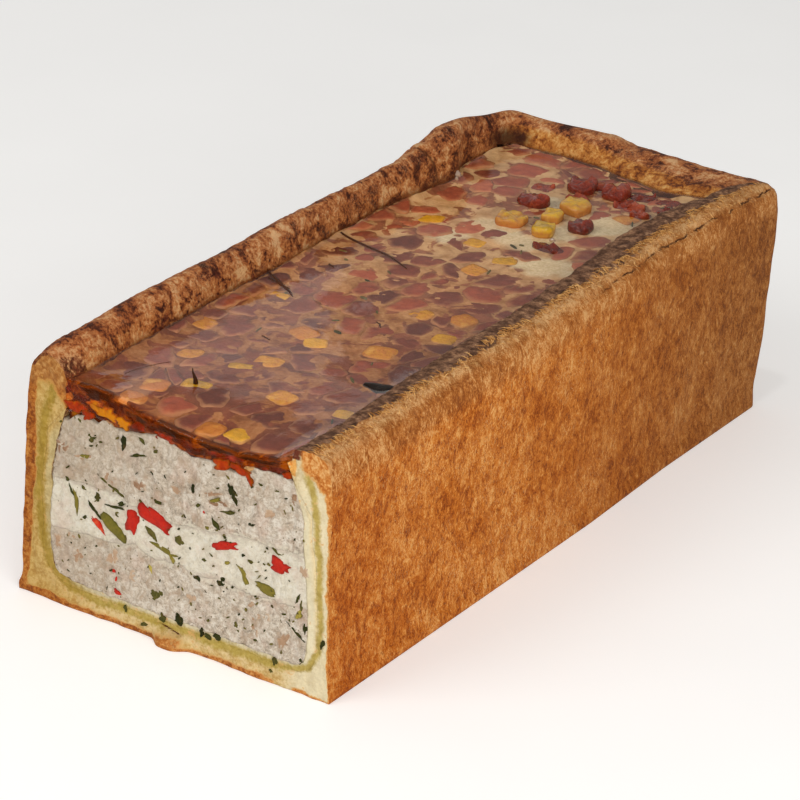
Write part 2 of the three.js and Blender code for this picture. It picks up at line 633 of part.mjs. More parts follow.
function chips(solid, list, seed) {
  return list.reduce((sum, [x, z, long, high, slant], i) => {
    const piece = { x, z, long, high, slant, sides: 6, seed: seed + i };
    return sum.add(cutPiece(piece, CHIP_PROUD, CHIP_DEPTH, 0));
  }, solid);
}

function pockets(solid, list) {
  const open = PIECE_PROUD + 2;
  return list.reduce((sum, piece) => sum.subtract(cutPiece(piece, open, PIECE_DEPTH, GAP)), solid);
}

// Jelly surface: level, with a meniscus up the rim, and dipping at the cut to its edge there.
function jellyTop(x, y) {
  const left = along(LEFT_FOOT, y);
  const right = along(RIGHT_FOOT, y);
  const creep = CREEP_LEFT * Math.exp(-Math.max(0, x - left) / CREEP_LENGTH)
    + CREEP_RIGHT * Math.exp(-Math.max(0, right - x) / CREEP_LENGTH);
  const level = jellyLevel(y) + creep + 0.12 * noise(x / 9, y / 9, 3);
  const dip = Math.exp(-((Math.max(0, y - DIP_Y) / DIP_LENGTH) ** DIP_POWER));
  return lerp(level, along(JELLY_EDGE, x), dip);
}

const inner = core(GAP);
const farceLower = inner
  .intersect(slab(() => 0, moved(mousseBottom, -GAP / 2), acrossSteps, lengthSteps))
  .subtract(fillingCutter);
const mousseBody = inner
  .intersect(slab(moved(mousseBottom, GAP / 2), moved(mousseTop, -GAP / 2), acrossSteps, lengthSteps))
  .subtract(fillingCutter);
const farceUpper = inner
  .intersect(slab(moved(mousseTop, GAP / 2), moved(farceTop, -GAP / 2), acrossSteps, lengthSteps))
  .subtract(fillingCutter);
const underJelly = slab(() => 0, moved(farceTop, GAP / 2), acrossSteps, lengthSteps);
const jellyRows = [-132, -106, -101, -96, -88, ...steps(-74, 132, 14)];
const jellyBlock = slab(() => 40, jellyTop, steps(-60, 60, 18), jellyRows);
const jellyBody = TOP_PIECES.reduce(
  (sum, piece) => sum.subtract(topPiece(piece, GAP)),
  inner.intersect(jellyBlock).subtract(underJelly).subtract(jellyCutter),
);

const COLOURS = {
  crust: 0xb5763c,
  pale_lining: 0xddd8b4,
  farce_lower: 0xc9beb0,
  mousse: 0xe6e2d2,
  farce_upper: 0xc9beb0,
  jelly: 0x9a6a55,
  pepper: 0xc8281c,
  bean: 0x8a8a34,
  cube: 0xd9a032,
  meat: 0x7c1f18,
};

function material(colour, roughness) {
  return new THREE.MeshStandardMaterial({ color: colour, roughness, metalness: 0 });
}

const solids = [
  ['crust', crustSolid(), material(COLOURS.crust, 0.75)],
  ['pale_lining', liningSolid(), material(COLOURS.pale_lining, 0.6)],
  ['farce_lower', pockets(chips(farceLower, LOWER_CHIPS, 40), CUT_PIECES), material(COLOURS.farce_lower, 0.6)],
  ['mousse', pockets(chips(mousseBody, MOUSSE_CHIPS, 60), CUT_PIECES), material(COLOURS.mousse, 0.55)],
  ['farce_upper', pockets(chips(farceUpper, UPPER_CHIPS, 80), CUT_PIECES), material(COLOURS.farce_upper, 0.6)],
  ['jelly', jellyBody, material(COLOURS.jelly, 0.12)],
];
CUT_PIECES.forEach((piece) => {
  const colour = piece.name.startsWith('bean') ? COLOURS.bean : COLOURS.pepper;
  solids.push([piece.name, cutPiece(piece, PIECE_PROUD, PIECE_DEPTH, 0), material(colour, 0.4)]);
});
TOP_PIECES.forEach((piece) => {
  const colour = piece.name.startsWith('cube') ? COLOURS.cube : COLOURS.meat;
  solids.push([piece.name, topPiece(piece, 0), material(colour, 0.35)]);
});

// The box of the whole is centred in plan and stands on z = 0.
const box = new THREE.Box3();
const loaf = new THREE.Group();
solids.forEach(([name, solid, skin]) => {
  const mesh = new THREE.Mesh(toGeometry(solid), skin);
  mesh.name = name;
  mesh.geometry.computeBoundingBox();
  box.union(mesh.geometry.boundingBox);
  loaf.add(mesh);
});
const centre = box.getCenter(new THREE.Vector3());
loaf.children.forEach((mesh) => mesh.geometry.translate(-centre.x, -centre.y, -box.min.z));

export default loaf;
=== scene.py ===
"""Pate en croute: the fine crust, the layered filling, and the jelly with what is set in it.

Lengths are millimetres as the part measures them: X across, Y along, Z up, the cut towards -Y.
"""
import math

import bpy
import numpy as np
from mathutils import Matrix, Vector


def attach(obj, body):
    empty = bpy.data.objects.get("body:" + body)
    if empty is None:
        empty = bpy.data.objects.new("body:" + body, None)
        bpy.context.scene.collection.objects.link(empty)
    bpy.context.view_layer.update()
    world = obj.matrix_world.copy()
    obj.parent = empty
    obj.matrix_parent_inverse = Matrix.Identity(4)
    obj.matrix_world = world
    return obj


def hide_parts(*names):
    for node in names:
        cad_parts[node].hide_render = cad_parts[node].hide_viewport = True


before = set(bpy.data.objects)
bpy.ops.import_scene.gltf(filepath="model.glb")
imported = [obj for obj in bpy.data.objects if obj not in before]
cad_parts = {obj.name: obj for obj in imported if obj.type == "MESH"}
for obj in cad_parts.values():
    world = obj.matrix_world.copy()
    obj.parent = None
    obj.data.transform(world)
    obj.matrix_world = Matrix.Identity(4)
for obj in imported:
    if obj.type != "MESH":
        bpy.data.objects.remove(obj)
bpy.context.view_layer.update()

MM = 0.001
# The part's box is centred in plan, so every point moves by this before it is built.
SHIFT = np.array([1.2135, -1.2245, 0.0])

# ---------------------------------------------------------------- sizes, as in the part
WALL_LEFT_X, WALL_RIGHT_X = -47.8, 46.0
LEFT_LEAN, RIGHT_LEAN = 2.2, 0.8
BACK_LOW_Y, BACK_HIGH_Y = 103.2, 110.8
# How far the foot of the right wall draws in towards the far end.
RIGHT_DRAW_IN = 1.3
FRONT_Y = -116.0
CUT_FOOT_Y, CUT_LEAN = -106.0, 0.05
CORNER_RADIUS = 4.4
FLANGE_OUT = 1.3
WALL_TOP_Z = 56.0
FLOOR_Z = 5.5
CAVITY_LEFT_X, CAVITY_RIGHT_X = -41.4, 42.3
CAVITY_LEFT_RADIUS, CAVITY_RIGHT_RADIUS = 10.0, 6.0
FARCE_FLOOR_Z = 7.2
FARCE_LEFT_RADIUS, FARCE_RIGHT_RADIUS = 7.7, 3.7
FARCE_START_X, FARCE_END_X = -37.5, 38.5
FILLING_BACK_Y = 95.0
JELLY_FRONT_Z, JELLY_BACK_Z = 58.2, 61.6

LEFT_CREST = [[-106, 64.2], [-94, 66.4], [-66, 68.1], [-35, 68.6], [-4, 69.9], [30, 70.1],
              [44, 70.7], [56, 72.5], [68, 75.2], [80, 76.2], [96, 72.6]]
BACK_CREST = [[-40, 70.4], [-30, 70.3], [-20, 69.7], [-10, 68.4], [0, 66.9], [12, 66.0],
              [26, 65.6], [40, 65.4]]
RIGHT_CREST = [[-106, 61.4], [-70, 62.3], [-25, 63.8], [10, 65.0], [45, 66.0], [80, 66.6],
               [98, 65.8]]
FRONT_CREST_Z = 64.0
LEFT_FOOT = [[-106, -33.2], [-70, -34.8], [-35, -36.4], [-12, -36.0], [5, -37.2], [31, -37.9],
             [52, -36.2], [64, -34.4], [74, -38.4], [90, -38.6]]
LEFT_FOOT_END_Y = 88.0
BACK_FOOT = [[-36, 96.6], [-22, 97.6], [-8, 95.6], [5, 91.8], [18, 88.8], [28, 90.6]]
RIGHT_FOOT = [[-106, 33.9], [-80, 33.9], [-45, 32.6], [-10, 33.4], [15, 32.4], [42, 29.8],
              [62, 30.6], [85, 33.0]]
FARCE_TOP = [[-42, 49.4], [-35.7, 49.7], [-33.4, 51.6], [-30.6, 52.4], [-26.4, 51.1],
             [-24.1, 53.1], [-18.8, 51.4], [-4.1, 53.0], [5.0, 50.7], [11.1, 51.5],
             [20.7, 50.2], [23.6, 53.1], [33.6, 53.4], [44, 53.0]]
MOUSSE_TOP = [[-44, 33.6], [-28.0, 34.4], [-17.0, 34.4], [-12.7, 33.0], [-5.7, 34.6],
              [-0.5, 32.2], [8.2, 33.2], [18.0, 34.7], [32.3, 35.2], [44, 36.2]]
MOUSSE_BOTTOM = [[-44, 20.4], [-26.9, 21.0], [-18.1, 21.5], [-11.4, 23.0], [-7.8, 21.3],
                 [2.2, 22.4], [5.4, 20.8], [14.5, 21.6], [20.6, 20.8], [31.0, 21.9], [44, 23.0]]
# Where the jelly's top meets the cut: height by x.
JELLY_EDGE = [[-33.5, 60.6], [-24.0, 60.5], [-16.0, 59.5], [-9.0, 57.2], [0.0, 56.0],
              [9.0, 55.4], [18.0, 56.0], [27.0, 56.8], [33.0, 58.8], [35.0, 59.6]]
JELLY_EDGE_Y, JELLY_LENGTH = -103.0, 206.0
# How high the jelly creeps up the foot of each rim, and how far in it reaches.
CREEP = {"left": (1.6, 3.4), "right": (0.7, 3.4), "back": (1.0, 3.0)}
# A distance in a zone that means nowhere near.
AWAY = 9.0


# ---------------------------------------------------------------- small helpers
def clamp01(t):
    return np.clip(t, 0.0, 1.0)


def lerp(a, b, t):
    return a + (b - a) * t


def smooth(a, b, value):
    t = clamp01((value - a) / (b - a))
    return t * t * (3 - 2 * t)


def along(table, position):
    """A value read smoothly from a table of place and value."""
    xs, values = np.array(table, float).T
    position = np.clip(np.asarray(position, float), xs[0], xs[-1])
    k = np.clip(np.searchsorted(xs, position), 1, len(xs) - 1)
    t = (position - xs[k - 1]) / (xs[k] - xs[k - 1])
    return lerp(values[k - 1], values[k], t * t * (3 - 2 * t))


def lattice(i, j, k):
    """A fixed random number from -1 to 1 for each point of a lattice."""
    s = np.sin(i * 127.1 + j * 311.7 + k * 74.7) * 43758.5453
    return 2 * (s - np.floor(s)) - 1


def noise(x, y, z):
    """Smooth noise from -1 to 1, with features about 1 across."""
    x, y, z = np.broadcast_arrays(*(np.asarray(v, float) for v in (x, y, z)))
    cx, cy, cz = np.floor(x), np.floor(y), np.floor(z)
    fx, fy, fz = ((f * f * (3 - 2 * f)) for f in (x - cx, y - cy, z - cz))
    total = np.zeros(x.shape)
    for c in range(8):
        i, j, k = c & 1, c >> 1 & 1, c >> 2 & 1
        weight = (fx if i else 1 - fx) * (fy if j else 1 - fy) * (fz if k else 1 - fz)
        total += weight * lattice(cx + i, cy + j, cz + k)
    return total


def rough(x, y, z, size, layers=3):
    """Layered noise with its widest features about size across."""
    total, weight = 0.0, 1.0
    for n in range(layers):
        s = size / 2 ** n
        total = total + weight * noise(x / s + 7 * n, y / s - 3 * n, z / s + 11 * n)
        weight *= 0.55
    return total


def cut_y(z):
    return CUT_FOOT_Y + CUT_LEAN * z


def cut_surface(x, z):
    """Y of the cut, a little torn."""
    torn = 0.6 * noise(x / 6, 3, z / 5) + 0.4 * noise(x / 2.6, 8, z / 2.6)
    return cut_y(z) + 0.5 * torn


def grid_faces(rows, columns, start=0, flip=False):
    k = start + np.arange(rows * columns).reshape(rows, columns)
    quads = np.stack([k[:-1, :-1], k[:-1, 1:], k[1:, 1:], k[1:, :-1]], -1).reshape(-1, 4)
    return (quads[:, ::-1] if flip else quads).tolist()


def make_piece(name, points, faces, materials, replaces=(), zones=None, kinds=None):
    """A mesh piece that rides on the loaf. zones are numbers by point, kinds are materials by face."""
    mesh = bpy.data.meshes.new(name)
    mesh.from_pydata(((np.asarray(points, float) + SHIFT) * MM).tolist(), [], faces)
    for key, values in (zones or {}).items():
        layer = mesh.attributes.new(key, "FLOAT", "POINT")
        layer.data.foreach_set("value", np.asarray(values, np.float32).ravel())
    for material in materials:
        mesh.materials.append(material)
    if kinds is not None:
        mesh.polygons.foreach_set("material_index", np.asarray(kinds, np.int32))
    mesh.polygons.foreach_set("use_smooth", np.ones(len(mesh.polygons), bool))
    mesh.update()
    piece = bpy.data.objects.new(name, mesh)
    bpy.context.scene.collection.objects.link(piece)
    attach(piece, "root")
    if replaces:
        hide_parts(*replaces)
    return piece


# ---------------------------------------------------------------- materials
class Field:
    """A number or colour that varies over a surface; arithmetic on it adds nodes to its look."""

    def __init__(self, look, socket):
        self.look, self.socket = look, socket

    def math(self, operation, first, second=0.0):
        return self.look.node("ShaderNodeMath", {0: first, 1: second}, operation=operation)

    def __add__(self, other):
        return self.math("ADD", self, other)

    def __sub__(self, other):
        return self.math("SUBTRACT", self, other)

    def __rsub__(self, other):
        return self.math("SUBTRACT", other, self)

    def __mul__(self, other):
        return self.math("MULTIPLY", self, other)

    def __abs__(self):
        return self.math("ABSOLUTE", self)

    def step(self, low, high):
        inputs = {"Value": self, "From Min": low, "From Max": high}
        return self.look.node("ShaderNodeMapRange", inputs, "Result", interpolation_type="SMOOTHSTEP")

    def ramp(self, *stops):
        """A colour by value; each stop is a value and a colour."""
        colour = self.look.node("ShaderNodeValToRGB", {0: self}, "Color")
        band = colour.socket.node.color_ramp
        while len(band.elements) < len(stops):
            band.elements.new(0.5)
        for element, (position, shade) in zip(band.elements, stops):
            element.position = position
            element.color = (*shade, 1.0)
        return colour


class Look:
    """A small builder of node materials, with places in millimetres."""

    def __init__(self, name):
        self.material = bpy.data.materials.new(name)
        self.material.use_nodes = True
        self.tree = self.material.node_tree
        self.shader = self.tree.nodes["Principled BSDF"]
        self.bump = None
        self.place = self.scaled(self.node("ShaderNodeTexCoord", {}, "Object"), MM)

    def link(self, source, socket):
        if isinstance(source, Field):
            self.tree.links.new(source.socket, socket)
        elif socket.type == "RGBA":
            socket.default_value = (*source, 1.0)
        else:
            socket.default_value = source

    def node(self, kind, inputs, output=0, **settings):
        node = self.tree.nodes.new(kind)
        for key, value in settings.items():
            setattr(node, key, value)
        for key, value in inputs.items():
            self.link(value, node.inputs[key])
        return Field(self, node.outputs[output])

    def scaled(self, place, size, stretch=(1.0, 1.0, 1.0)):
        share = tuple(1.0 / (size * s) for s in stretch)
        return self.node("ShaderNodeVectorMath", {0: place, 1: share}, operation="MULTIPLY")

    def zone(self, name):
        return self.node("ShaderNodeAttribute", {}, "Fac", attribute_name=name)

    def axis(self, letter):
        return self.node("ShaderNodeSeparateXYZ", {0: self.place}, letter)

    def noise(self, size, detail=3.0, roughness=0.55, stretch=(1.0, 1.0, 1.0), warp=0.0, lean=0.0):
        """Noise stretched along the axes, after a lean about X and Y in degrees."""
        place = self.place
        if lean:
            turn = (math.radians(lean), math.radians(lean), 0.0)
            place = self.node("ShaderNodeVectorRotate", {"Vector": place, "Rotation": turn},
                              rotation_type="EULER_XYZ")
        inputs = {"Vector": self.scaled(place, size, stretch), "Scale": 1.0, "Detail": detail,
                  "Roughness": roughness, "Distortion": warp}
        return self.node("ShaderNodeTexNoise", inputs, "Fac")

    def cells(self, size, feature="F1", output="Distance"):
        inputs = {"Vector": self.scaled(self.place, size), "Scale": 1.0}
        return self.node("ShaderNodeTexVoronoi", inputs, output, feature=feature)

    def mix(self, share, a, b, blend="MIX"):
        return self.node("ShaderNodeMix", {0: share, 6: a, 7: b}, 2, data_type="RGBA", blend_type=blend)

    def relief(self, height, deep):
        """Bump of a height between 0 and 1, deep millimetres from lowest to highest."""
        inputs = {"Strength": 1.0, "Distance": deep * MM, "Height": height}
        if self.bump is not None:
            inputs["Normal"] = self.bump
        self.bump = self.node("ShaderNodeBump", inputs, "Normal")

    def done(self, colour, roughness, coat=None, specular=0.5):
        inputs = {"Base Color": colour, "Roughness": roughness, "Specular IOR Level": specular}
        if coat is not None:
            inputs.update({"Coat Weight": coat, "Coat Roughness": 0.07})
        if self.bump is not None:
            inputs["Normal"] = self.bump
        for name, value in inputs.items():
            self.link(value, self.shader.inputs[name])
        return self.material


def skin_look():
    look = Look("browned_skin")
    rim, burnt, inner = look.zone("rim"), look.zone("burnt"), look.zone("inner")
    y = look.axis("Y")
    grain = look.noise(0.8, 3.0, 0.7) - 0.5
    # Long walls: orange-brown with fine upright strands, duller towards the far end.
    strands = [look.noise(0.62, 3.0, 0.60, (1.0, 1.0, 2.5), 1.3, lean) for lean in (22.0, -16.0)]
    strand = strands[0].math("MAXIMUM", *strands) - 0.035
    clump = look.noise(2.6, 4.0, 0.60, (1.0, 1.0, 1.4), 0.8)
    broad = look.noise(17.0, 3.0, 0.6)
    tone = strand * 0.62 + clump * 0.38 + (broad - 0.5) * 0.26
    tone = tone + (tone - 0.51) * (y.step(10.0, -60.0) * 0.20)
    wall = tone.ramp((0.375, (0.20, 0.040, 0.004)), (0.455, (0.38, 0.094, 0.008)),
                     (0.515, (0.49, 0.146, 0.016)), (0.565, (0.58, 0.212, 0.038)),
                     (0.65, (0.70, 0.350, 0.110)))
    pore = look.noise(0.95, 2.0, 0.5, (1.0, 1.0, 1.5))
    wall = look.mix(pore.step(0.60, 0.74) * 0.7, wall, (0.18, 0.040, 0.006))
    curl = abs(look.noise(1.5, 2.0, 0.5, (1.0, 1.0, 1.8), 2.2) - 0.5)
    curl = curl.step(0.022, 0.004) * broad.step(0.36, 0.60)
    wall = look.mix(curl * 0.60, wall, (0.74, 0.46, 0.20))
    wall = look.mix(y.step(-55.0, -106.0), wall, (0.86, 0.74, 0.58), "MULTIPLY")
    dull = tone.ramp((0.38, (0.100, 0.034, 0.009)), (0.47, (0.20, 0.068, 0.015)),
                     (0.55, (0.31, 0.124, 0.032)), (0.65, (0.44, 0.22, 0.075)))
    wall = look.mix(y.step(-50.0, 110.0) * 0.80, wall, dull)
    fringe = tone.ramp((0.40, (0.23, 0.066, 0.011)), (0.51, (0.44, 0.165, 0.036)),
                       (0.60, (0.66, 0.37, 0.15)))
    wall = look.mix(look.zone("lip").step(0.2, 1.0) * 0.75, wall, fringe)
    straw = tone.ramp((0.38, (0.30, 0.105, 0.024)), (0.48, (0.52, 0.25, 0.080)),
                      (0.57, (0.72, 0.44, 0.20)))
    wall = look.mix(look.zone("straw") * 0.85, wall, straw)
    # Rims: mottled from tan to nearly burnt, golden inside, with scratches.
    crust = look.noise(2.1, 4.0, 0.66, warp=0.9)
    mottle = look.noise(6.5, 4.0, 0.56, warp=0.5) * 0.62 + crust * 0.38 + grain * 0.30
    top = mottle.ramp((0.39, (0.055, 0.016, 0.008)), (0.445, (0.165, 0.046, 0.018)),
                      (0.49, (0.35, 0.108, 0.034)), (0.545, (0.52, 0.20, 0.066)),
                      (0.62, (0.70, 0.41, 0.20)))
    top = look.mix(y.step(-30.0, -100.0), top, (0.90, 0.80, 0.72), "MULTIPLY")
    scratch = abs(look.noise(3.2, 4.0, 0.7, warp=1.6) - 0.5)
    scratch = scratch.step(0.016, 0.003) * look.noise(9.0, 2.0).step(0.46, 0.62)
    top = look.mix(scratch * 0.5, top, (0.62, 0.36, 0.19))
    gold = mottle.ramp((0.39, (0.13, 0.032, 0.009)), (0.45, (0.33, 0.098, 0.018)),
                       (0.52, (0.56, 0.22, 0.045)), (0.62, (0.76, 0.44, 0.15)))
    top = look.mix((inner + grain * 0.3).step(0.25, 0.75), top, gold)
    colour = look.mix(rim, wall, top)
    # The burnt strip, the wet foot darkened further by painted shade, the dark red patches, the crack and the
    # fold.
    char = look.noise(2.3, 5.0, 0.74).ramp((0.33, (0.050, 0.022, 0.012)), (0.47, (0.140, 0.066, 0.037)),
                                           (0.56, (0.27, 0.135, 0.074)), (0.70, (0.54, 0.31, 0.160)))
    edge = burnt + (look.noise(1.5, 4.0, 0.7, warp=1.0) - 0.5) * 1.1
    colour = look.mix(edge.step(0.36, 0.66), colour, char)
    # Near black along the rim's foot and in the back left corner: wet dough there, darkened further by
    # painted shade.
    colour = look.mix(look.zone("wet_and_shade"), colour, (0.045, 0.013, 0.006))
    stain = look.zone("stain")
    scorched = crust.ramp((0.40, (0.040, 0.010, 0.006)), (0.50, (0.115, 0.024, 0.012)),
                          (0.62, (0.28, 0.085, 0.038)))
    patches = (stain + (0.5 - mottle) * 4.5).step(0.35, 0.85) * stain.step(0.05, 0.35)
    colour = look.mix(patches * 0.85, colour, scorched)
    # The dark line along the crack is painted shade in its groove.
    line = abs(look.zone("crack") + (look.noise(3.4, 5.0, 0.65) - 0.5) * 2.6)
    split = line.step(0.30, 0.04) * look.zone("torn") * look.noise(6.0, 2.0).step(0.40, 0.55)
    colour = look.mix(split, colour, (0.085, 0.030, 0.012))
    # The dark in the fold is painted shade.
    fold = abs(look.zone("crease")).step(0.65, 0.1) * 0.7
    colour = look.mix(fold, colour, (0.085, 0.028, 0.012))
    look.relief(clump, 0.50)
    look.relief(strand * (1.0 - rim * 0.8), 0.22)
    look.relief(crust * rim, 0.5)
    look.relief(grain * (rim + burnt), 0.5)
    look.relief(1.0 - split, 0.4)
    return look.done(colour, 0.85 - (rim + inner) * 0.20, specular=0.14)


def dough_look():
    look = Look("cut_dough")
    x, z = look.axis("X"), look.axis("Z")
    fine = look.noise(0.8, 3.0, 0.65) - 0.5
    soft = look.noise(3.0, 3.0, 0.6)
    crumb = (soft + fine).ramp((0.30, (0.46, 0.27, 0.075)), (0.50, (0.58, 0.40, 0.15)),
                               (0.70, (0.70, 0.54, 0.28)))
    pale = (soft + fine).ramp((0.30, (0.48, 0.40, 0.24)), (0.65, (0.64, 0.57, 0.40)))
    colour = look.mix(look.zone("pale"), crumb, pale)
    colour = look.mix(x.step(33.0, 41.0) * 0.40, colour, (0.84, 0.75, 0.52))
    olive = look.zone("olive") + fine * 1.8 + (soft - 0.5) * 2.2
    green = look.noise(1.6, 3.0, 0.6).ramp((0.3, (0.31, 0.215, 0.030)), (0.7, (0.47, 0.35, 0.085)))
    colour = look.mix(olive.step(2.5, 0.55) * 0.92, colour, green)
    # Browned dough: toasted, golden on the right, crisp at the top of the left.
    brown = look.zone("brown") + fine * 1.1 + (soft - 0.5) * 1.4
    toast = (look.noise(2.2, 3.0, 0.6) + fine).ramp(
        (0.30, (0.22, 0.060, 0.012)), (0.50, (0.42, 0.145, 0.028)), (0.72, (0.58, 0.28, 0.085)))
    golden = (look.noise(1.8, 5.0, 0.66, warp=0.8) + fine * 0.5).ramp(
        (0.34, (0.36, 0.095, 0.012)), (0.50, (0.56, 0.215, 0.046)), (0.66, (0.72, 0.41, 0.155)))
    crisp = look.noise(1.6, 5.0, 0.66, warp=0.6).ramp(
        (0.36, (0.25, 0.095, 0.026)), (0.50, (0.44, 0.215, 0.076)), (0.64, (0.64, 0.40, 0.19)))
    toast = look.mix(x.step(28.0, 34.0), toast, golden)
    toast = look.mix(x.step(-28.0, -34.0) * z.step(54.0, 60.0) * 0.75, toast, crisp)
    colour = look.mix(brown.step(0.10, 0.50), colour, (0.58, 0.33, 0.115))
    colour = look.mix(brown.step(0.42, 0.72), colour, toast)
    dark = look.zone("dark") + fine * 0.8
    colour = look.mix(dark.step(0.42, 0.75), colour, (0.12, 0.027, 0.012))
    # Darker towards the left: painted shade.
    colour = look.mix(x.step(-16.0, -36.0), colour, (0.84, 0.74, 0.52), "MULTIPLY")
    look.relief(look.noise(0.7, 3.0, 0.7), 0.28)
    return look.done(colour, 0.75, specular=0.15)


def farce_look(name, base, light, depth, tan, tan_share, other, left_shade):
    """Chopped paste; near the edge of its layer it turns to the other layer's colour in tatters."""
    look = Look(name)
    grain = look.noise(0.50, 4.0, 0.74)
    shred = look.noise(1.5, 4.0, 0.66, warp=1.4)
    soft = look.noise(3.6, 3.0, 0.6, warp=0.6)
    mass = look.cells(1.7, "SMOOTH_F1") * 0.16 + grain * 0.38 + shred * 0.46
    darker, darkest = (tuple(lerp(dim, 1.0, depth) * c for c in base) for dim in (0.76, 0.42))
    colour = mass.ramp((0.42, light), (0.51, base), (0.565, darker), (0.66, darkest))
    edge = look.zone("edge") + (shred - 0.5) * 5.0 + (soft - 0.5) * 5.0
    colour = look.mix(edge.step(1.1, -0.2) * 0.9, colour, other)
    colour = look.mix(soft.step(0.50, 0.68) * tan_share, colour, tan)
    colour = look.mix(look.noise(6.0, 2.0).step(0.50, 0.70) * 0.30, colour, (0.66, 0.45, 0.36))
    # Darker towards the left and the top: painted shade.
    shade = look.axis("X").step(14.0, -42.0) * left_shade + look.axis("Z").step(38.0, 52.0) * 0.16
    colour = look.mix(shade, colour, (0.42, 0.32, 0.215))
    speck = (look.cells(1.35) + shred * 0.5).step(0.42, 0.30)
    some = look.cells(1.35, output="Color").step(0.66, 0.70)
    colour = look.mix(speck * some, colour, (0.15, 0.12, 0.065))
    look.relief(mass, 0.52)
    look.relief(grain, 0.16)
    return look.done(colour, 0.6, specular=0.22)


def tone_look(name, stops, fleck, roughness, coat=None, grain_size=0.6, deep=0.12, specular=0.2,
              rim=None):
    """A moist piece whose colour follows its own tone, broken by grain; rim colours its soft edge."""
    look = Look(name)
    grain = look.noise(grain_size, 3.0, 0.65)
    colour = (look.zone("tone") + (grain - 0.5) * 0.55).ramp(*stops)
    patch = look.noise(grain_size * 2.6, 3.0)
    colour = look.mix(patch.step(0.56, 0.70) * 0.5, colour, fleck)
    if rim:
        frayed = look.zone("edge") + (patch - 0.5) * 1.6
        colour = look.mix(frayed.step(0.40, 1.15) * 0.85, colour, rim)
    look.relief(grain, deep)
    return look.done(colour, roughness, coat, specular)


def bed_look():
    look = Look("set_meat")
    y = look.axis("Y")
    soft = look.noise(5.0, 3.0, 0.6, warp=0.5)
    grain = look.noise(0.9, 3.0, 0.65)
    colour = (soft + (grain - 0.5) * 0.4).ramp(
        (0.32, (0.29, 0.125, 0.045)), (0.50, (0.44, 0.225, 0.095)), (0.68, (0.57, 0.34, 0.165)))
    meat = look.noise(4.0, 3.0, 0.6).ramp((0.35, (0.14, 0.040, 0.030)), (0.65, (0.30, 0.095, 0.062)))
    share = look.noise(7.5, 3.0, 0.55, warp=0.7) + y.step(-10.0, -70.0) * 0.05
    colour = look.mix(share.step(0.53, 0.58) * 0.8, colour, meat)
    # Darker towards the cut: painted shade.
    colour = look.mix(y.step(0.0, -75.0), colour, (0.70, 0.56, 0.49), "MULTIPLY")
    bright = soft.ramp((0.35, (0.46, 0.28, 0.135)), (0.60, (0.66, 0.46, 0.27)))
    colour = look.mix(y.step(-25.0, 50.0) * share.step(0.56, 0.50), colour, bright)
    pale = grain.ramp((0.3, (0.57, 0.48, 0.32)), (0.7, (0.79, 0.72, 0.56)))
    colour = look.mix(look.zone("pale"), colour, pale)
    amber = look.noise(3.2, 3.0, 0.6, warp=0.8).ramp(
        (0.37, (0.060, 0.009, 0.001)), (0.49, (0.155, 0.030, 0.002)), (0.62, (0.36, 0.105, 0.002)))
    colour = look.mix(look.zone("amber"), colour, amber)
    look.relief(grain, 0.25)
    return look.done(colour, 0.6, specular=0.06)


def jelly_look(name, thin, thick, mirror):
    """Clear jelly; mirror tints what its surface throws back."""
    look = Look(name)
    look.relief(look.noise(7.0, 2.0), 0.08)
    look.relief(look.noise(1.6, 2.0), 0.012)
    fixed = {"Transmission Weight": 1.0, "IOR": 1.36, "Specular Tint": mirror}
    for key, value in fixed.items():
        look.link(value, look.shader.inputs[key])
    tint = look.noise(14.0, 2.0).ramp((0.35, thick), (0.65, thin))
    return look.done(tint, look.noise(9.0, 3.0) * 0.05 + 0.03, specular=0.2)


SKIN = skin_look()
DOUGH = dough_look()
FARCE = farce_look("farce_paste", (0.565, 0.47, 0.365), (0.76, 0.69, 0.59), 0.0, (0.42, 0.29, 0.195), 0.65,
                   (0.70, 0.63, 0.50), 0.42)
MOUSSE = farce_look("mousse_paste", (0.72, 0.65, 0.515), (0.77, 0.72, 0.61), 0.5, (0.60, 0.50, 0.36), 0.35,
                    (0.56, 0.475, 0.38), 0.0)
HERB = tone_look(
    "herb_green", [(0.2, (0.014, 0.016, 0.004)), (0.55, (0.046, 0.048, 0.010)), (0.9, (0.15, 0.12, 0.030))],
    (0.090, 0.050, 0.014), 0.7, None, 0.6, 0.12, 0.08)
BEAN = tone_look(
    "bean_green", [(0.2, (0.085, 0.080, 0.010)), (0.55, (0.20, 0.155, 0.020)), (0.9, (0.46, 0.36, 0.070))],
    (0.36, 0.28, 0.060), 0.55, None, 0.9, 0.12, 0.15, (0.085, 0.075, 0.012))
PEPPER = tone_look(
    "pepper_red", [(0.25, (0.15, 0.006, 0.002)), (0.50, (0.38, 0.009, 0.003)),
                   (0.75, (0.54, 0.020, 0.006)), (1.0, (0.72, 0.16, 0.05))],
    (0.30, 0.010, 0.003), 0.5, None, 1.3, 0.25, 0.15, (0.26, 0.012, 0.004))
TAN = tone_look(
    "meat_tan", [(0.2, (0.24, 0.13, 0.070)), (0.55, (0.40, 0.255, 0.155)), (0.9, (0.54, 0.40, 0.28))],
    (0.36, 0.20, 0.12), 0.6, None, 0.8, 0.15, 0.2, (0.54, 0.44, 0.335))
CUBE = tone_look(
    "cube_yellow", [(0.10, (0.36, 0.21, 0.012)), (0.38, (0.68, 0.38, 0.018)),
                    (0.65, (0.53, 0.215, 0.034)), (0.95, (0.46, 0.150, 0.030))],
    (0.76, 0.50, 0.095), 0.22, 0.5, 1.6, 0.7, 0.25, (0.47, 0.225, 0.085))
MEAT = tone_look(
    "meat_dark", [(0.2, (0.070, 0.008, 0.003)), (0.55, (0.26, 0.024, 0.006)), (0.9, (0.50, 0.080, 0.020))],
    (0.44, 0.070, 0.016), 0.16, 0.45, 1.1, 1.3, 0.3)
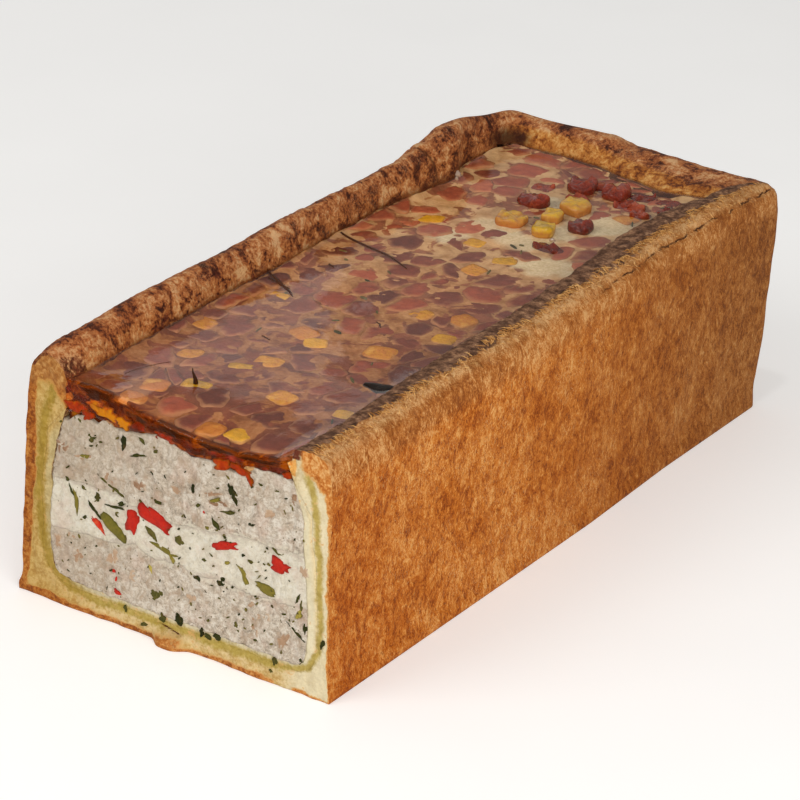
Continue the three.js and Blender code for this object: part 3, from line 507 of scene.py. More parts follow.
HAM = tone_look(
    "ham_mauve", [(0.05, (0.120, 0.033, 0.022)), (0.35, (0.215, 0.058, 0.037)),
                  (0.65, (0.37, 0.092, 0.050)), (0.95, (0.54, 0.185, 0.095))],
    (0.32, 0.130, 0.078), 0.5, None, 2.4, 0.25, 0.1, (0.43, 0.215, 0.108))
BAND = tone_look(
    "band_chunk", [(0.0, (0.012, 0.004, 0.001)), (0.25, (0.045, 0.013, 0.003)),
                   (0.45, (0.100, 0.013, 0.002)), (0.65, (0.36, 0.030, 0.003)),
                   (0.90, (0.54, 0.180, 0.004))],
    (0.20, 0.045, 0.003), 0.4, None, 1.4, 0.5, 0.05, (0.20, 0.048, 0.003))
SLIVER = tone_look(
    "dark_sliver", [(0.1, (0.008, 0.004, 0.002)), (0.5, (0.085, 0.026, 0.010)), (0.9, (0.16, 0.06, 0.02))],
    (0.03, 0.012, 0.005), 0.3, 0.15, 0.6, 0.12, 0.12)
DROP = tone_look(
    "clear_drop", [(0.2, (0.16, 0.08, 0.05)), (0.9, (0.42, 0.30, 0.22))], (0.30, 0.20, 0.14), 0.06, 1.0)
FIBRE = tone_look(
    "straw_fibre", [(0.0, (0.14, 0.050, 0.012)), (0.35, (0.42, 0.175, 0.045)),
                    (0.70, (0.70, 0.38, 0.13)), (1.0, (0.84, 0.57, 0.26))],
    (0.50, 0.24, 0.07), 0.75, None, 0.5, 0.05, 0.1)
BED = bed_look()
JELLY = jelly_look("clear_jelly", (1.0, 0.87, 0.67), (0.98, 0.77, 0.55), (1.0, 1.0, 1.0))
JELLY_CUT = jelly_look("clear_jelly_cut", (1.0, 0.62, 0.26), (0.96, 0.50, 0.16), (0.22, 0.10, 0.05))

# ---------------------------------------------------------------- crust
SIDES = ("front", "right", "back", "left")
RIGHT, BACK, LEFT = 1, 2, 3
WALL_LEVELS = [(0.0, -FLANGE_OUT), (1.5, -FLANGE_OUT * 0.9), (4.2, -0.1), (12.0, 0.0), (22.0, 0.0),
               (32.0, 0.0), (42.0, 0.0), (50.0, 0.0)]
RIM_OUTER = [(0.3, 7.2), (1.0, 3.2), (2.8, 0.8)]
RIM_INNER = {
    "left": [(0, 0), (0.3, 0.04), (0.58, 0.2), (0.82, 0.52), (1.0, 1.0), (1.2, 1.3)],
    "back": [(0, 0), (0.3, 0.06), (0.58, 0.26), (0.82, 0.6), (1.0, 1.0), (1.2, 1.3)],
    "right": [(0, 0), (0.35, -0.02), (0.7, 0.0), (0.93, 0.14), (1.0, 0.9), (1.3, 1.3)],
    "front": [(0, 0), (0.35, 0.05), (0.6, 0.2), (0.85, 0.5), (1.0, 1.0), (1.2, 1.3)],
}
CREST_INSET = {"left": 5.0, "back": 6.0, "right": 5.4, "front": 3.0}
RING_COUNT = len(WALL_LEVELS) + len(RIM_OUTER) + len(RIM_INNER["left"])
# Rings are numbered from the foot: 7 is the top of the wall, 8 to 10 turn over the rim's outer
# edge, 11 is the crest, 15 is where the jelly starts, and 16 lies under it.
WALL_TOP_RING = len(WALL_LEVELS) - 1
CREST_RING = len(WALL_LEVELS) + len(RIM_OUTER)


class Columns:
    """Upright columns round the loaf: the side each is on, how far along it, and its turn at a corner."""

    def __init__(self, index, t, turn):
        self.index, self.t, self.turn = (np.asarray(v) for v in (index, t, turn))
        self.corner = self.turn > 0
        self.every = np.arange(len(self.index))

    def pick(self, four):
        return np.stack([np.broadcast_to(v, self.t.shape) for v in four])[self.index, self.every]

    def blend(self, values):
        table = np.stack([np.broadcast_to(values[side], self.t.shape) for side in SIDES])
        here = table[self.index, self.every]
        following = table[(self.index + 1) % 4, self.every]
        return lerp(here, following, np.where(self.corner, self.turn, 0.0))


def outline_point(columns, x0, x1, y0, y1, radius):
    """Where each column stands on the outline of a box with round corners."""
    r = np.maximum(radius, 0.4)
    start_x, start_y = columns.pick([x0 + r, x1, x1 - r, x0]), columns.pick([y0, y0 + r, y1, y1 - r])
    end_x, end_y = columns.pick([x1 - r, x1, x0 + r, x0]), columns.pick([y0, y1 - r, y1, y0 + r])
    angle = np.radians(-90 + 90 * columns.index + 90 * columns.turn)
    bend_x = columns.pick([x1 - r, x1 - r, x0 + r, x0 + r]) + r * np.cos(angle)
    bend_y = columns.pick([y0 + r, y1 - r, y1 - r, y0 + r]) + r * np.sin(angle)
    x = np.where(columns.corner, bend_x, lerp(start_x, end_x, columns.t))
    y = np.where(columns.corner, bend_y, lerp(start_y, end_y, columns.t))
    return x, y


def outer_point(columns, z, inset):
    """Where each column stands on the walls' outer side at one height."""
    left = WALL_LEFT_X + LEFT_LEAN * clamp01((z - 8) / 50) ** 1.8
    right = WALL_RIGHT_X - RIGHT_LEAN * clamp01(z / 30)
    back = lerp(BACK_LOW_Y, BACK_HIGH_Y, clamp01(z / 50) ** 0.7)
    x, y = outline_point(columns, left + inset, right - inset, FRONT_Y, back - inset,
                         CORNER_RADIUS - 0.6 * inset)
    draw_in = RIGHT_DRAW_IN * clamp01((y - 10) / 40) * (1 - 0.7 * clamp01(z / 40))
    return x - draw_in * clamp01(x / 30), y


def foot_point(columns):
    """Where each column meets the jelly at the foot of the rim."""
    left_x, left_y = along(LEFT_FOOT, LEFT_FOOT_END_Y), along(BACK_FOOT, BACK_FOOT[0][0])
    right_x, right_y = along(RIGHT_FOOT, RIGHT_FOOT[-1][0]), along(BACK_FOOT, BACK_FOOT[-1][0])
    corner_y = np.where(columns.index == BACK, left_y, right_y)
    bend_x, bend_y = outline_point(columns, left_x, right_x, FRONT_Y + 8, corner_y, 4.0)
    side_y = np.where(columns.index == LEFT, lerp(left_y - 4, FRONT_Y + 11, columns.t),
                      lerp(FRONT_Y + 11, right_y - 4, columns.t))
    back_x = lerp(right_x - 4, left_x + 4, columns.t)
    x = np.select([columns.corner, columns.index == RIGHT, columns.index == LEFT],
                  [bend_x, along(RIGHT_FOOT, side_y), along(LEFT_FOOT, side_y)], back_x)
    y = np.select([columns.corner, columns.index == BACK], [bend_y, along(BACK_FOOT, back_x)], side_y)
    return x, y


def crest_height(columns, x, y):
    return columns.blend({"left": along(LEFT_CREST, y), "back": along(BACK_CREST, x),
                          "right": along(RIGHT_CREST, y), "front": FRONT_CREST_Z})


def jelly_level(y):
    return lerp(JELLY_FRONT_Z, JELLY_BACK_Z, clamp01((y - JELLY_EDGE_Y) / JELLY_LENGTH))


def swell(x, y, z, size):
    """The broad unevenness of the baked dough."""
    return size * (0.6 * noise(x / 13, y / 13, z / 11) + 0.4 * noise(x / 5 + 9, y / 5, z / 5))


def crust_ring(number, columns):
    """One ring round the crust, with a point for each column."""
    if number < len(WALL_LEVELS):
        z, inset = WALL_LEVELS[number]
        if inset < 0:
            inset = inset * columns.blend({"left": 1.0, "back": 0.3, "right": 0.5, "front": 0.0})
        x, y = outer_point(columns, z, inset)
        push = swell(x, y, z, 0.55) if z > 0 else 0.0
        x, y = outer_point(columns, z, inset + push)
        return np.stack([x, y, np.full(x.shape, z)], -1)
    if number < CREST_RING:
        inset, drop = RIM_OUTER[number - len(WALL_LEVELS)]
        x, y = outer_point(columns, WALL_TOP_Z, inset)
        crest = crest_height(columns, x, y)
        lump = swell(x, y, crest, 0.7)
        x, y = outer_point(columns, WALL_TOP_Z, inset + lump * 0.6)
        return np.stack([x, y, crest - drop + lump * 0.8], -1)
    k = number - CREST_RING
    from_x, from_y = outer_point(columns, WALL_TOP_Z, columns.blend(CREST_INSET))
    to_x, to_y = foot_point(columns)
    share = columns.blend({side: RIM_INNER[side][k][0] for side in SIDES})
    fall = columns.blend({side: RIM_INNER[side][k][1] for side in SIDES})
    x, y = lerp(from_x, to_x, share), lerp(from_y, to_y, share)
    crest = crest_height(columns, from_x, from_y)
    lump = swell(x, y, crest, 0.8) if k < 4 else 0.0
    return np.stack([x, y, lerp(crest, jelly_level(y), fall) + lump], -1)


SIDE_COLUMNS, CORNER_COLUMNS, BACK_COLUMNS = 215, 13, 92
ROWS_PER_RING = [2, 4, 9, 11, 11, 11, 9, 9, 6, 4, 4, 5, 5, 5, 5, 3]
CORNER_PASSES = 140


def cut_share(number, index):
    """How far along a side the cut crosses one ring."""
    t = np.linspace(0.0, 0.3, 200)
    if index == LEFT:
        t = 1.0 - t
    ring = crust_ring(number, Columns(np.full(t.shape, index), t, np.zeros(t.shape)))
    return float(np.interp(0.0, ring[:, 1] - cut_surface(ring[:, 0], ring[:, 2]), t))


def crust_columns(number):
    side, back = np.linspace(0, 1, SIDE_COLUMNS), np.linspace(0, 1, BACK_COLUMNS)
    corner = np.arange(1, CORNER_COLUMNS + 1) / (CORNER_COLUMNS + 1)
    end = np.ones(CORNER_COLUMNS)
    t = [lerp(cut_share(number, RIGHT), 1.0, side), end, back, end, lerp(0.0, cut_share(number, LEFT), side)]
    turn = [0 * side, corner, 0 * back, corner, 0 * side]
    index = np.repeat([RIGHT, RIGHT, BACK, BACK, LEFT], [len(part) for part in t])
    return Columns(index, np.concatenate(t), np.concatenate(turn))


def crust_rows():
    """Rings of the crust drawn through the part's own rings, with the ring number of each row."""
    rings = np.stack([crust_ring(n, crust_columns(n)) for n in range(RING_COUNT)])
    gaps = np.linalg.norm(np.diff(rings, axis=0), axis=-1).mean(1)
    slopes = np.diff(rings, axis=0) / gaps[:, None, None]
    tangents = np.empty_like(rings)
    tangents[0], tangents[-1] = slopes[0], slopes[-1]
    before, after = gaps[:-1, None, None], gaps[1:, None, None]
    tangents[1:-1] = (slopes[:-1] * after + slopes[1:] * before) / (before + after)
    rows, numbers = [], []
    for k, count in enumerate(ROWS_PER_RING):
        for step in range(count + (k == RING_COUNT - 2)):
            t = step / count
            h = gaps[k]
            rows.append(rings[k] * (1 + 2 * t) * (1 - t) ** 2 + tangents[k] * h * t * (1 - t) ** 2
                        + rings[k + 1] * t * t * (3 - 2 * t) + tangents[k + 1] * h * t * t * (t - 1))
            numbers.append(k + t)
    return np.stack(rows), np.array(numbers)


def grid_normals(points):
    across, up = np.gradient(points, axis=1), np.gradient(points, axis=0)
    normal = np.cross(across, up)
    return normal / np.maximum(np.linalg.norm(normal, axis=-1, keepdims=True), 1e-9)


def crust_relief(x, y, z, ring, left, right):
    """How far the skin stands proud by place, and the distances from the fold and the crack."""
    rim = smooth(8.2, 9.6, ring)
    # Upright fuzz on the walls, lumps on the rims, a crumbly edge by the burnt strip.
    push = (1 - rim) * (0.10 * noise(x / 1.1, y / 1.1, z / 3.0) + 0.10 * noise(x / 3.2, y / 3.2, z / 6.0))
    on_top = rim * (1 - 0.75 * right)
    push += on_top * (0.22 * rough(x, y, z, 4.5) + 0.12 * noise(x / 0.9, y / 0.9, z / 0.9))
    push += rim * right * (0.22 * rough(x + 40, y, z, 2.6) + 0.16 * noise(x / 5, y / 9, 2.0))
    crease = y - 55.0 - 1.4 * noise(x / 4, 1.0, 2.0) - 0.25 * (x + 40)
    fold = left * rim * smooth(15.5, 13.0, ring)
    push += fold * (-0.85 * np.exp(-(crease / 0.7) ** 2) + 0.35 * np.exp(-((crease - 1.7) / 1.1) ** 2))
    lip = right * smooth(7.6, 8.3, ring) * smooth(9.7, 9.2, ring) * smooth(-110, -60, y)
    push += 0.35 * lip
    crack = (ring - 9.5) * 2.6 + 0.7 * noise(y / 9, 4.0, 1.0)
    push -= 0.35 * right * np.exp(-(crack / 0.6) ** 2) * smooth(-10, 25, y)
    push *= smooth(0.0, 3.0, z) * smooth(16.0, 15.0, ring)
    return push, crease, crack


def skin_zones(x, y, z, ring, left, right, crease, crack):
    """Colour zones of the skin by place."""
    narrow = lerp(12.0, 11.25, smooth(-104, -72, y)) + 0.3 * noise(y / 12, 2.0, 9.0)
    burnt = smooth(narrow - 1.1, narrow + 0.4, ring + 0.30 * noise(y / 3.0, 6.0, 1.0))
    # The dark in the back left inner corner is painted shade.
    corner = np.hypot(x + 36.5, (y - 94.5) * 0.8) + 1.6 * noise(x / 2.5, y / 2.5, z / 2.5)
    shaded_corner = 0.92 * smooth(7.5, 3.0, corner) * smooth(12.8, 14.0, ring)
    # The dark red patch on the left rim by the cut, and smaller ones along its foot.
    patch = np.hypot((x + 34.4) * 0.9, (y + 99.0) / 1.6) + 1.2 * noise(x / 2.6, y / 2.6, z / 2.6)
    stain = left * smooth(5.0, 1.8, patch) * smooth(10.4, 11.8, ring)
    foot_stain = 0.34 * left * smooth(11.8, 13.4, ring) * smooth(20, -30, y)
    return {
        "rim": smooth(8.2, 9.6, ring) * (1 - 0.85 * right),
        "burnt": right * burnt * smooth(-107, -101, y),
        "inner": (1 - 0.62 * left - right) * smooth(12.0, 14.0, ring),
        "wet_and_shade": np.maximum(smooth(14.35, 15.0, ring) * 0.9, shaded_corner),
        "stain": np.maximum(stain, foot_stain),
        "lip": right * smooth(7.0, 8.6, ring) * smooth(11.2, 9.8, ring),
        "straw": right * smooth(9.3, 10.2, ring) * smooth(11.9, 11.2, ring),
        "crack": np.where(right > 0.5, crack, AWAY),
        "torn": right * smooth(2.0, 30.0, y),
        "crease": np.where((left > 0.5) & (ring > 8.5), crease, AWAY),
    }


def build_crust():
    points, number = crust_rows()
    sides = crust_columns(0)
    x, y, z = np.moveaxis(points, -1, 0)
    ring = number[:, None] + 0 * x
    left, right = (sides.blend({side: float(side == which) for side in SIDES}) + 0 * x
                   for which in ("left", "right"))
    push, crease, crack = crust_relief(x, y, z, ring, left, right)
    points = points + grid_normals(points) * push[..., None]
    # The back left corner, where two rims meet, is smoothed.
    near = smooth(34.0, 12.0, np.hypot(x + 42.0, y - 103.0))
    near = near * smooth(8.2, 9.2, ring) * smooth(15.6, 14.6, ring)
    for _ in range(CORNER_PASSES):
        mean = points.copy()
        mean[1:-1, 1:-1] = (points[2:, 1:-1] + points[:-2, 1:-1] + points[1:-1, 2:] + points[1:-1, :-2]) / 4
        points = points + (mean - points) * near[..., None]
    for column in (0, -1):
        points[:, column, 1] = cut_surface(points[:, column, 0], points[:, column, 2])
    points[0, :, 2] = 0.0
    x, y, z = np.moveaxis(points, -1, 0)
    zones = skin_zones(x, y, z, ring, left, right, crease, crack)
    rows, count = x.shape
    skin = points.reshape(-1, 3)
    faces = grid_faces(rows, count)
    # The cut through the dough: a band between the skin and the space that the filling takes.
    outer, inner_line = crumb_outlines(points, number)
    crumb, crumb_zones, steps = crumb_band(outer, inner_line)
    start = len(skin)
    crumb_faces = grid_faces(steps, len(outer), start)
    # The hidden hollow behind the cut, and the flat underside.
    hollow = inner_line.copy()
    hollow[:, 1] = FILLING_BACK_Y + 2
    wall_start = start + len(crumb)
    edge = (start + (steps - 1) * len(outer) + np.arange(len(outer))).tolist()
    back = (wall_start + np.arange(len(hollow))).tolist()
    wall_faces = [list(quad) for quad in zip(edge[:-1], edge[1:], back[1:], back[:-1])]
    wall_faces.append(back)
    base_front = [start + i for i in range(len(outer)) if outer[i, 2] < 1e-6]
    base = list(range(count - 1, -1, -1)) + base_front[::-1]
    every = np.vstack([skin, crumb, hollow])
    blank = {key: np.zeros(len(every)) for key in (*zones, *crumb_zones)}
    for key in ("crack", "crease", "olive"):
        blank[key] += AWAY
    for key, values in zones.items():
        blank[key][:start] = values.ravel()
    for key, values in crumb_zones.items():
        blank[key][start:wall_start] = values
    all_faces = faces + [base] + crumb_faces + wall_faces
    kinds = [0] * (len(faces) + 1) + [1] * (len(crumb_faces) + len(wall_faces))
    make_piece("crust_fine", every, all_faces, [SKIN, DOUGH], ["crust"], blank, kinds)
    return inner_line, points, number


def cavity_x(z, side):
    """The dough's inner wall in the cut: side is -1 for left and 1 for right."""
    if side < 0:
        return along([[0, CAVITY_LEFT_X], [30, CAVITY_LEFT_X], [48.6, CAVITY_LEFT_X + 1.7]], z)
    return along([[0, CAVITY_RIGHT_X], [22, CAVITY_RIGHT_X], [48.6, CAVITY_RIGHT_X - 2.8]], z)


FARCE_LEFT = [[7.4, -38.6], [30, -38.6], [37.4, -38.0], [44, -36.7], [51, -34.6], [54, -33.5],
              [56, -33.2]]
FARCE_RIGHT = [[7.4, 39.5], [22, 39.5], [37.4, 37.8], [44, 37.5], [51, 35.1], [54, 33.6], [56, 33.9]]
SEAM_Z = 52.6


def farce_x(z, side):
    """The filling's side in the cut: side is -1 for left and 1 for right."""
    table = np.array(FARCE_LEFT if side < 0 else FARCE_RIGHT)
    return np.interp(z, table[:, 0], table[:, 1])


def arc(centre, radius, start, end, count=14):
    angle = np.radians(np.linspace(start, end, count))
    return np.stack([centre[0] + radius * np.cos(angle), centre[1] + radius * np.sin(angle)], -1)


def resample(line, count):
    """The same line with count points at equal steps."""
    length = np.concatenate([[0], np.cumsum(np.linalg.norm(np.diff(line, axis=0), axis=-1))])
    at = np.linspace(0, length[-1], count)
    return np.stack([np.interp(at, length, line[:, i]) for i in range(line.shape[1])], -1)


def cavity_parts(first, last):
    """The dough's inner edge in the cut, in parts that match the parts of the skin's outline."""
    left_seam, right_seam = (farce_x(SEAM_Z, -1), SEAM_Z), (farce_x(SEAM_Z, 1), SEAM_Z)
    left_z = np.linspace(46, 15.5, 20)
    right_z = np.linspace(11.5, 46, 20)
    left_wall = np.stack([cavity_x(left_z, -1), left_z], -1)
    right_wall = np.stack([cavity_x(right_z, 1), right_z], -1)
    left_centre = (CAVITY_LEFT_X + CAVITY_LEFT_RADIUS, FLOOR_Z + CAVITY_LEFT_RADIUS)
    right_centre = (CAVITY_RIGHT_X - CAVITY_RIGHT_RADIUS, FLOOR_Z + CAVITY_RIGHT_RADIUS)
    left_bend = arc(left_centre, CAVITY_LEFT_RADIUS, 180, 270)
    right_bend = arc(right_centre, CAVITY_RIGHT_RADIUS, 270, 360)
    return [
        np.array([first, left_seam]),
        np.array([left_seam, left_wall[0]]),
        np.vstack([left_wall, left_bend[1:8]]),
        left_bend[7:],
        np.array([left_bend[-1], right_bend[0]]),
        right_bend[:7],
        np.vstack([right_bend[6:], right_wall[1:]]),
        np.array([right_wall[-1], right_seam]),
        np.array([right_seam, last]),
    ]


def crumb_outlines(points, number):
    """Matching outlines of the cut dough: along the skin, and along the filling's space."""
    left, right = points[::-1, -1], points[:, 0]
    crest = int(np.argmin(abs(number[::-1] - CREST_RING)))
    shoulder = int(np.argmin(abs(number[::-1] - WALL_TOP_RING)))
    base_x = np.linspace(left[-1, 0], right[0, 0], 190)
    base = np.stack([base_x, cut_surface(base_x, 0.0), 0 * base_x], -1)
    left_turn = int(np.argmin(abs(base_x + 32)))
    right_turn = int(np.argmin(abs(base_x - 37)))
    n = len(left)
    parts = [left[:crest + 1], left[crest:shoulder + 1], left[shoulder:], base[:left_turn + 1],
             base[left_turn:right_turn + 1], base[right_turn:], right[:n - shoulder],
             right[n - shoulder - 1:n - crest], right[n - crest - 1:]]
    inner_parts = cavity_parts(left[0, [0, 2]], right[-1, [0, 2]])
    outer_line, inner_line = [], []
    for i, (part, match) in enumerate(zip(parts, inner_parts)):
        skip = 1 if i else 0
        outer_line.append(part[skip:])
        inner_line.append(resample(np.asarray(match, float), len(part))[skip:])
    outer_line, flat = np.vstack(outer_line), np.vstack(inner_line)
    inner_line = np.stack([flat[:, 0], cut_surface(flat[:, 0], flat[:, 1]), flat[:, 1]], -1)
    return outer_line, inner_line


# The olive line in the cut dough, round from the top left: x, z.
OLIVE_LINE = [(-37.4, 58.0), (-38.1, 56.0), (-40.6, 48.7), (-41.8, 38.3), (-42.3, 28.0),
              (-41.5, 17.9), (-38.3, 9.9), (-32.6, 5.5), (-23.6, 4.3), (-15.6, 5.2), (-6.8, 4.7),
              (4.1, 4.9), (13.4, 4.8), (21.0, 5.0), (28.6, 5.1), (36.0, 5.8), (40.4, 7.4),
              (43.0, 12.3), (43.2, 20.9), (42.3, 33.7), (41.4, 43.0), (40.2, 51.0), (38.0, 55.3)]


def line_distance(x, z, line):
    """Distance of each place from a line of straight pieces."""
    best = np.full(x.shape, np.inf)
    for (ax, az), (bx, bz) in zip(line[:-1], line[1:]):
        dx, dz = bx - ax, bz - az
        t = clamp01(((x - ax) * dx + (z - az) * dz) / (dx * dx + dz * dz))
        best = np.minimum(best, np.hypot(x - ax - t * dx, z - az - t * dz))
    return best


def dough_zones(x, z, depth, share):
    """Colour zones of the cut dough by place: browned skin, olive line, dark edges, pale inside."""
    left, right = smooth(-30, -40, x), smooth(32, 40, x)
    skin = 1.0 + 2.1 * left + (-0.65 + 2.0 * smooth(36, 56, z)) * right + 0.35 * noise(x / 3, z / 3, 5.0)
    brown = smooth(skin + 0.9, skin - 0.5, depth) * (1 - smooth(30, 31, x) * smooth(37.0, 34.5, x))
    cap_left = smooth(-26, -31, x) * smooth(56.0, 60.0, z + 0.16 * (x + 40.0) ** 2 * (x > -40))
    cap_right = smooth(35.0, 37.5, x) * smooth(54.6, 58.4, z + 0.10 * (x - 36.0) ** 2 * (x > 36))
    olive = line_distance(x, z, OLIVE_LINE) * lerp(1.0, 1.25, smooth(10, 4, z)) * lerp(1.0, 1.7, right)
    seam = smooth(57.4, 59.4, z) * smooth(31.5, 33.5, x) * smooth(39.0, 34.5, x)
    crest = smooth(1.9, 0.7, depth + 0.5 * noise(x / 1.5, z / 1.5, 3.0)) * left * smooth(59.0, 61.5, z)
    crest = (0.72 + 0.18 * smooth(-39.0, -42.5, x)) * crest
    return {"brown": np.maximum(brown, np.maximum(cap_left, cap_right)), "olive": olive,
            "dark": np.maximum(crest, seam) * 0.8,
            "pale": np.maximum(0.3 * share, 0.75 * smooth(30, 38, x))}


# The torn tongue of dough at the foot of the cut, and the slit above it.
TONGUE_X, TONGUE_OUT = -0.6, 2.6
SLIT_X, SLIT_Z, SLIT_DEEP = -1.4, 3.7, 1.6


def crumb_band(outer, inner_line):
    """The cut dough between two matching outlines, with its colour zones."""
    steps = 21
    share = np.linspace(0, 1, steps)[:, None]
    x = lerp(outer[None, :, 0], inner_line[None, :, 0], share)
    z = lerp(outer[None, :, 2], inner_line[None, :, 2], share)
    depth = share * np.hypot(*(outer - inner_line)[:, [0, 2]].T)[None, :]
    edge = smooth(0.0, 0.12, share) * smooth(1.0, 0.9, share)
    y = cut_surface(x, z) + edge * (0.22 * rough(x, 4.0, z, 1.6) + 0.18 * noise(x / 4, 1.0, z / 4))
    tongue = np.exp(-((x - TONGUE_X) / 4.4) ** 4) * smooth(3.4, 1.6, z)
    slit_z = SLIT_Z - 0.21 * (x - SLIT_X)
    slit = np.exp(-((z - slit_z) / 0.45) ** 2) * np.exp(-((x - SLIT_X) / 3.2) ** 4)
    y = y - TONGUE_OUT * tongue + SLIT_DEEP * slit
    zones = dough_zones(x, z, depth, share + 0 * x)
    # The dark in the slit above the tongue is painted shade.
    zones["dark"] = np.maximum(zones["dark"], smooth(0.3, 0.8, slit))
    zones["brown"] = np.maximum(zones["brown"], 0.8 * tongue)
    points = np.stack([x, y, z], -1).reshape(-1, 3)
    return points, {key: values.ravel() for key, values in zones.items()}, steps


# ---------------------------------------------------------------- lining and filling
def farce_floor(share):
    """Height of the filling's rounded floor across the cut."""
    wide = farce_x(12.0, 1) - farce_x(12.0, -1)
    height = FARCE_FLOOR_Z
    for radius, near in ((FARCE_LEFT_RADIUS, share * wide), (FARCE_RIGHT_RADIUS, (1 - share) * wide)):
        height = height + (radius - np.sqrt(radius ** 2 - np.clip(radius - near, 0.0, radius) ** 2))
    return height


def layer_edge(table, seed, size):
    """Height of the uneven line between two layers, across the cut."""
    def height(share):
        x = lerp(FARCE_START_X, FARCE_END_X, share)
        return along(table, x) + size * noise(x / 4, seed, 0.5) + 0.35 * rough(x, seed + 4.0, 1.5, 2.4)
    return height


farce_top = layer_edge(FARCE_TOP, 2, 0.3)
mousse_top = layer_edge(MOUSSE_TOP, 7, 0.25)
mousse_bottom = layer_edge(MOUSSE_BOTTOM, 12, 0.25)


def curds(x, z, size):
    """Lumpy height of chopped filling."""
    grains = 1 - np.abs(noise(x / 1.5, 5.0, z / 1.5)) * 1.6
    return size * (0.5 * grains + 0.5 * rough(x, 2.0, z, 2.8))


def closed_body(front, rows, count, back_y):
    """A front grid carried straight to back_y and closed there."""
    faces = grid_faces(rows, count)
    k = np.arange(rows * count).reshape(rows, count)
    rim = np.concatenate([k[0, :-1], k[:-1, -1], k[-1, :0:-1], k[:0:-1, 0]]).tolist()
    behind = front[rim].copy()
    behind[:, 1] = back_y
    back = list(range(len(front), len(front) + len(rim)))
    faces += [list(quad) for quad in zip(rim[1:] + rim[:1], rim, back, back[1:] + back[:1])]
    faces.append(back[::-1])
    return np.vstack([front, behind]), faces


def build_layer(name, low, high, material, size, rows, node):
    """One layer of filling between two heights, its lumps as big as size."""
    share = np.linspace(0, 1, 196)[None, :]
    up = np.linspace(0, 1, rows)[:, None]
    z = lerp(low(share), high(share), up)
    left_x = farce_x(z, -1)
    x = lerp(left_x, farce_x(z, 1), share)
    from_low = np.inf if node == "farce_lower" else z - low(share)
    from_high = np.inf if node == "farce_upper" else high(share) - z
    inside = np.minimum(from_low, from_high)
    lumps = curds(x, z, lerp(0.5, size, smooth(0.0, 2.0, inside)))
    groove = np.exp(-((x - left_x) / 0.45) ** 2) * (smooth(26, 32, z) + smooth(18, 12, z))
    y = cut_surface(x, z) - lumps + 0.5 * groove
    front = np.stack([x, y, z], -1).reshape(-1, 3)
    points, faces = closed_body(front, rows, share.size, FILLING_BACK_Y)
    edge = np.full(len(points), AWAY)
    edge[:z.size] = inside.ravel()
    return make_piece(name, points, faces, [material], [node], {"edge": edge})


def nearest(line, x, z):
    """Which point of a line lies nearest to a place in the cut."""
    return int(np.argmin(np.hypot(line[:, 0] - x, line[:, -1] - z)))


def build_lining(inner_line):
    """The pale sheet between the dough and the filling, as a band in the cut carried back."""
    keep = (inner_line[:, 2] <= SEAM_Z + 1e-6)
    first, last = np.argmax(keep), len(keep) - 1 - np.argmax(keep[::-1])
    outer = inner_line[first:last + 1]
    z_left = np.linspace(SEAM_Z, FARCE_FLOOR_Z + FARCE_LEFT_RADIUS, 24)
    z_right = np.linspace(FARCE_FLOOR_Z + FARCE_RIGHT_RADIUS, SEAM_Z, 24)
    share = np.linspace(0, 1, 160)
    floor_z = farce_floor(share)
    floor_x = lerp(farce_x(floor_z, -1), farce_x(floor_z, 1), share)
    left = np.stack([farce_x(z_left, -1), z_left], -1)
    right = np.stack([farce_x(z_right, 1), z_right], -1)
    inside = np.vstack([left, np.stack([floor_x, floor_z], -1), right])
    # Match the two edges by their share of the way down the left, along the floor and up the right.
    cuts_out = [0, nearest(outer, -39.4, 9.6), nearest(outer, 41.4, 8.4), len(outer) - 1]
    cuts_in = [0, nearest(inside, -36.9, 9.6), nearest(inside, 38.9, 8.4), len(inside) - 1]
    matched = []
    for i in range(3):
        part = inside[cuts_in[i]:cuts_in[i + 1] + 1]
        matched.append(resample(part, cuts_out[i + 1] - cuts_out[i] + 1)[1 if i else 0:])
    matched = np.vstack(matched)
    steps = 9
    across = np.linspace(0, 1, steps)[:, None]
    x = lerp(outer[None, :, 0], matched[None, :, 0], across)
    z = lerp(outer[None, :, 2], matched[None, :, 1], across)
    edge = smooth(0, 0.2, across) * smooth(1, 0.8, across)
    y = cut_surface(x, z) + edge * 0.18 * rough(x, 6.0, z, 1.8)
    # A dark line on the left where the lining meets the groove in the filling: painted shade.
    crack = smooth(0.78, 1.0, across) * smooth(-20, -30, x) * (smooth(28, 34, z) + smooth(16, 11, z))
    zones = dough_zones(x, z, np.full(x.shape, AWAY), 1 + 0 * x)
    zones["brown"] = 0 * x
    zones["dark"] = 0.62 * crack
    zones["pale"] = lerp(smooth(0.0, 0.5, across), np.where(x > 0, 0.95, 0.35), smooth(44, 50, z))
    points = np.stack([x, y, z], -1).reshape(-1, 3)
    body, faces = closed_body(points, steps, x.shape[1], FILLING_BACK_Y + 1)
    hidden = np.zeros(len(body) - x.size)
    zones = {key: np.concatenate([values.ravel(), hidden]) for key, values in zones.items()}
    make_piece("lining_fine", body, faces, [DOUGH], ["pale_lining"], zones)


# ---------------------------------------------------------------- pieces that show in the cut
def circle(count):
    """Cosines and sines of equal steps round a circle."""
    angle = np.arange(count) / count * 2 * math.pi
    return np.cos(angle), np.sin(angle)


def squared(value, power):
    """A cosine or sine pulled towards the side of a box by a power below 1."""
    return np.sign(value) * np.abs(value) ** power


def turned(x, y, degrees):
    """A place turned about the origin."""
    c, s = math.cos(math.radians(degrees)), math.sin(math.radians(degrees))
    return x * c - y * s, x * s + y * c


# Rings of a face piece from behind the cut to its front: size, share of proud, and edge zone.
FACE_BACK_SIZE = 0.9
FACE_RINGS = [(0.96, 0.5, 0.95), (0.84, 0.85, 0.7), (0.45, 1.0, 0.15)]


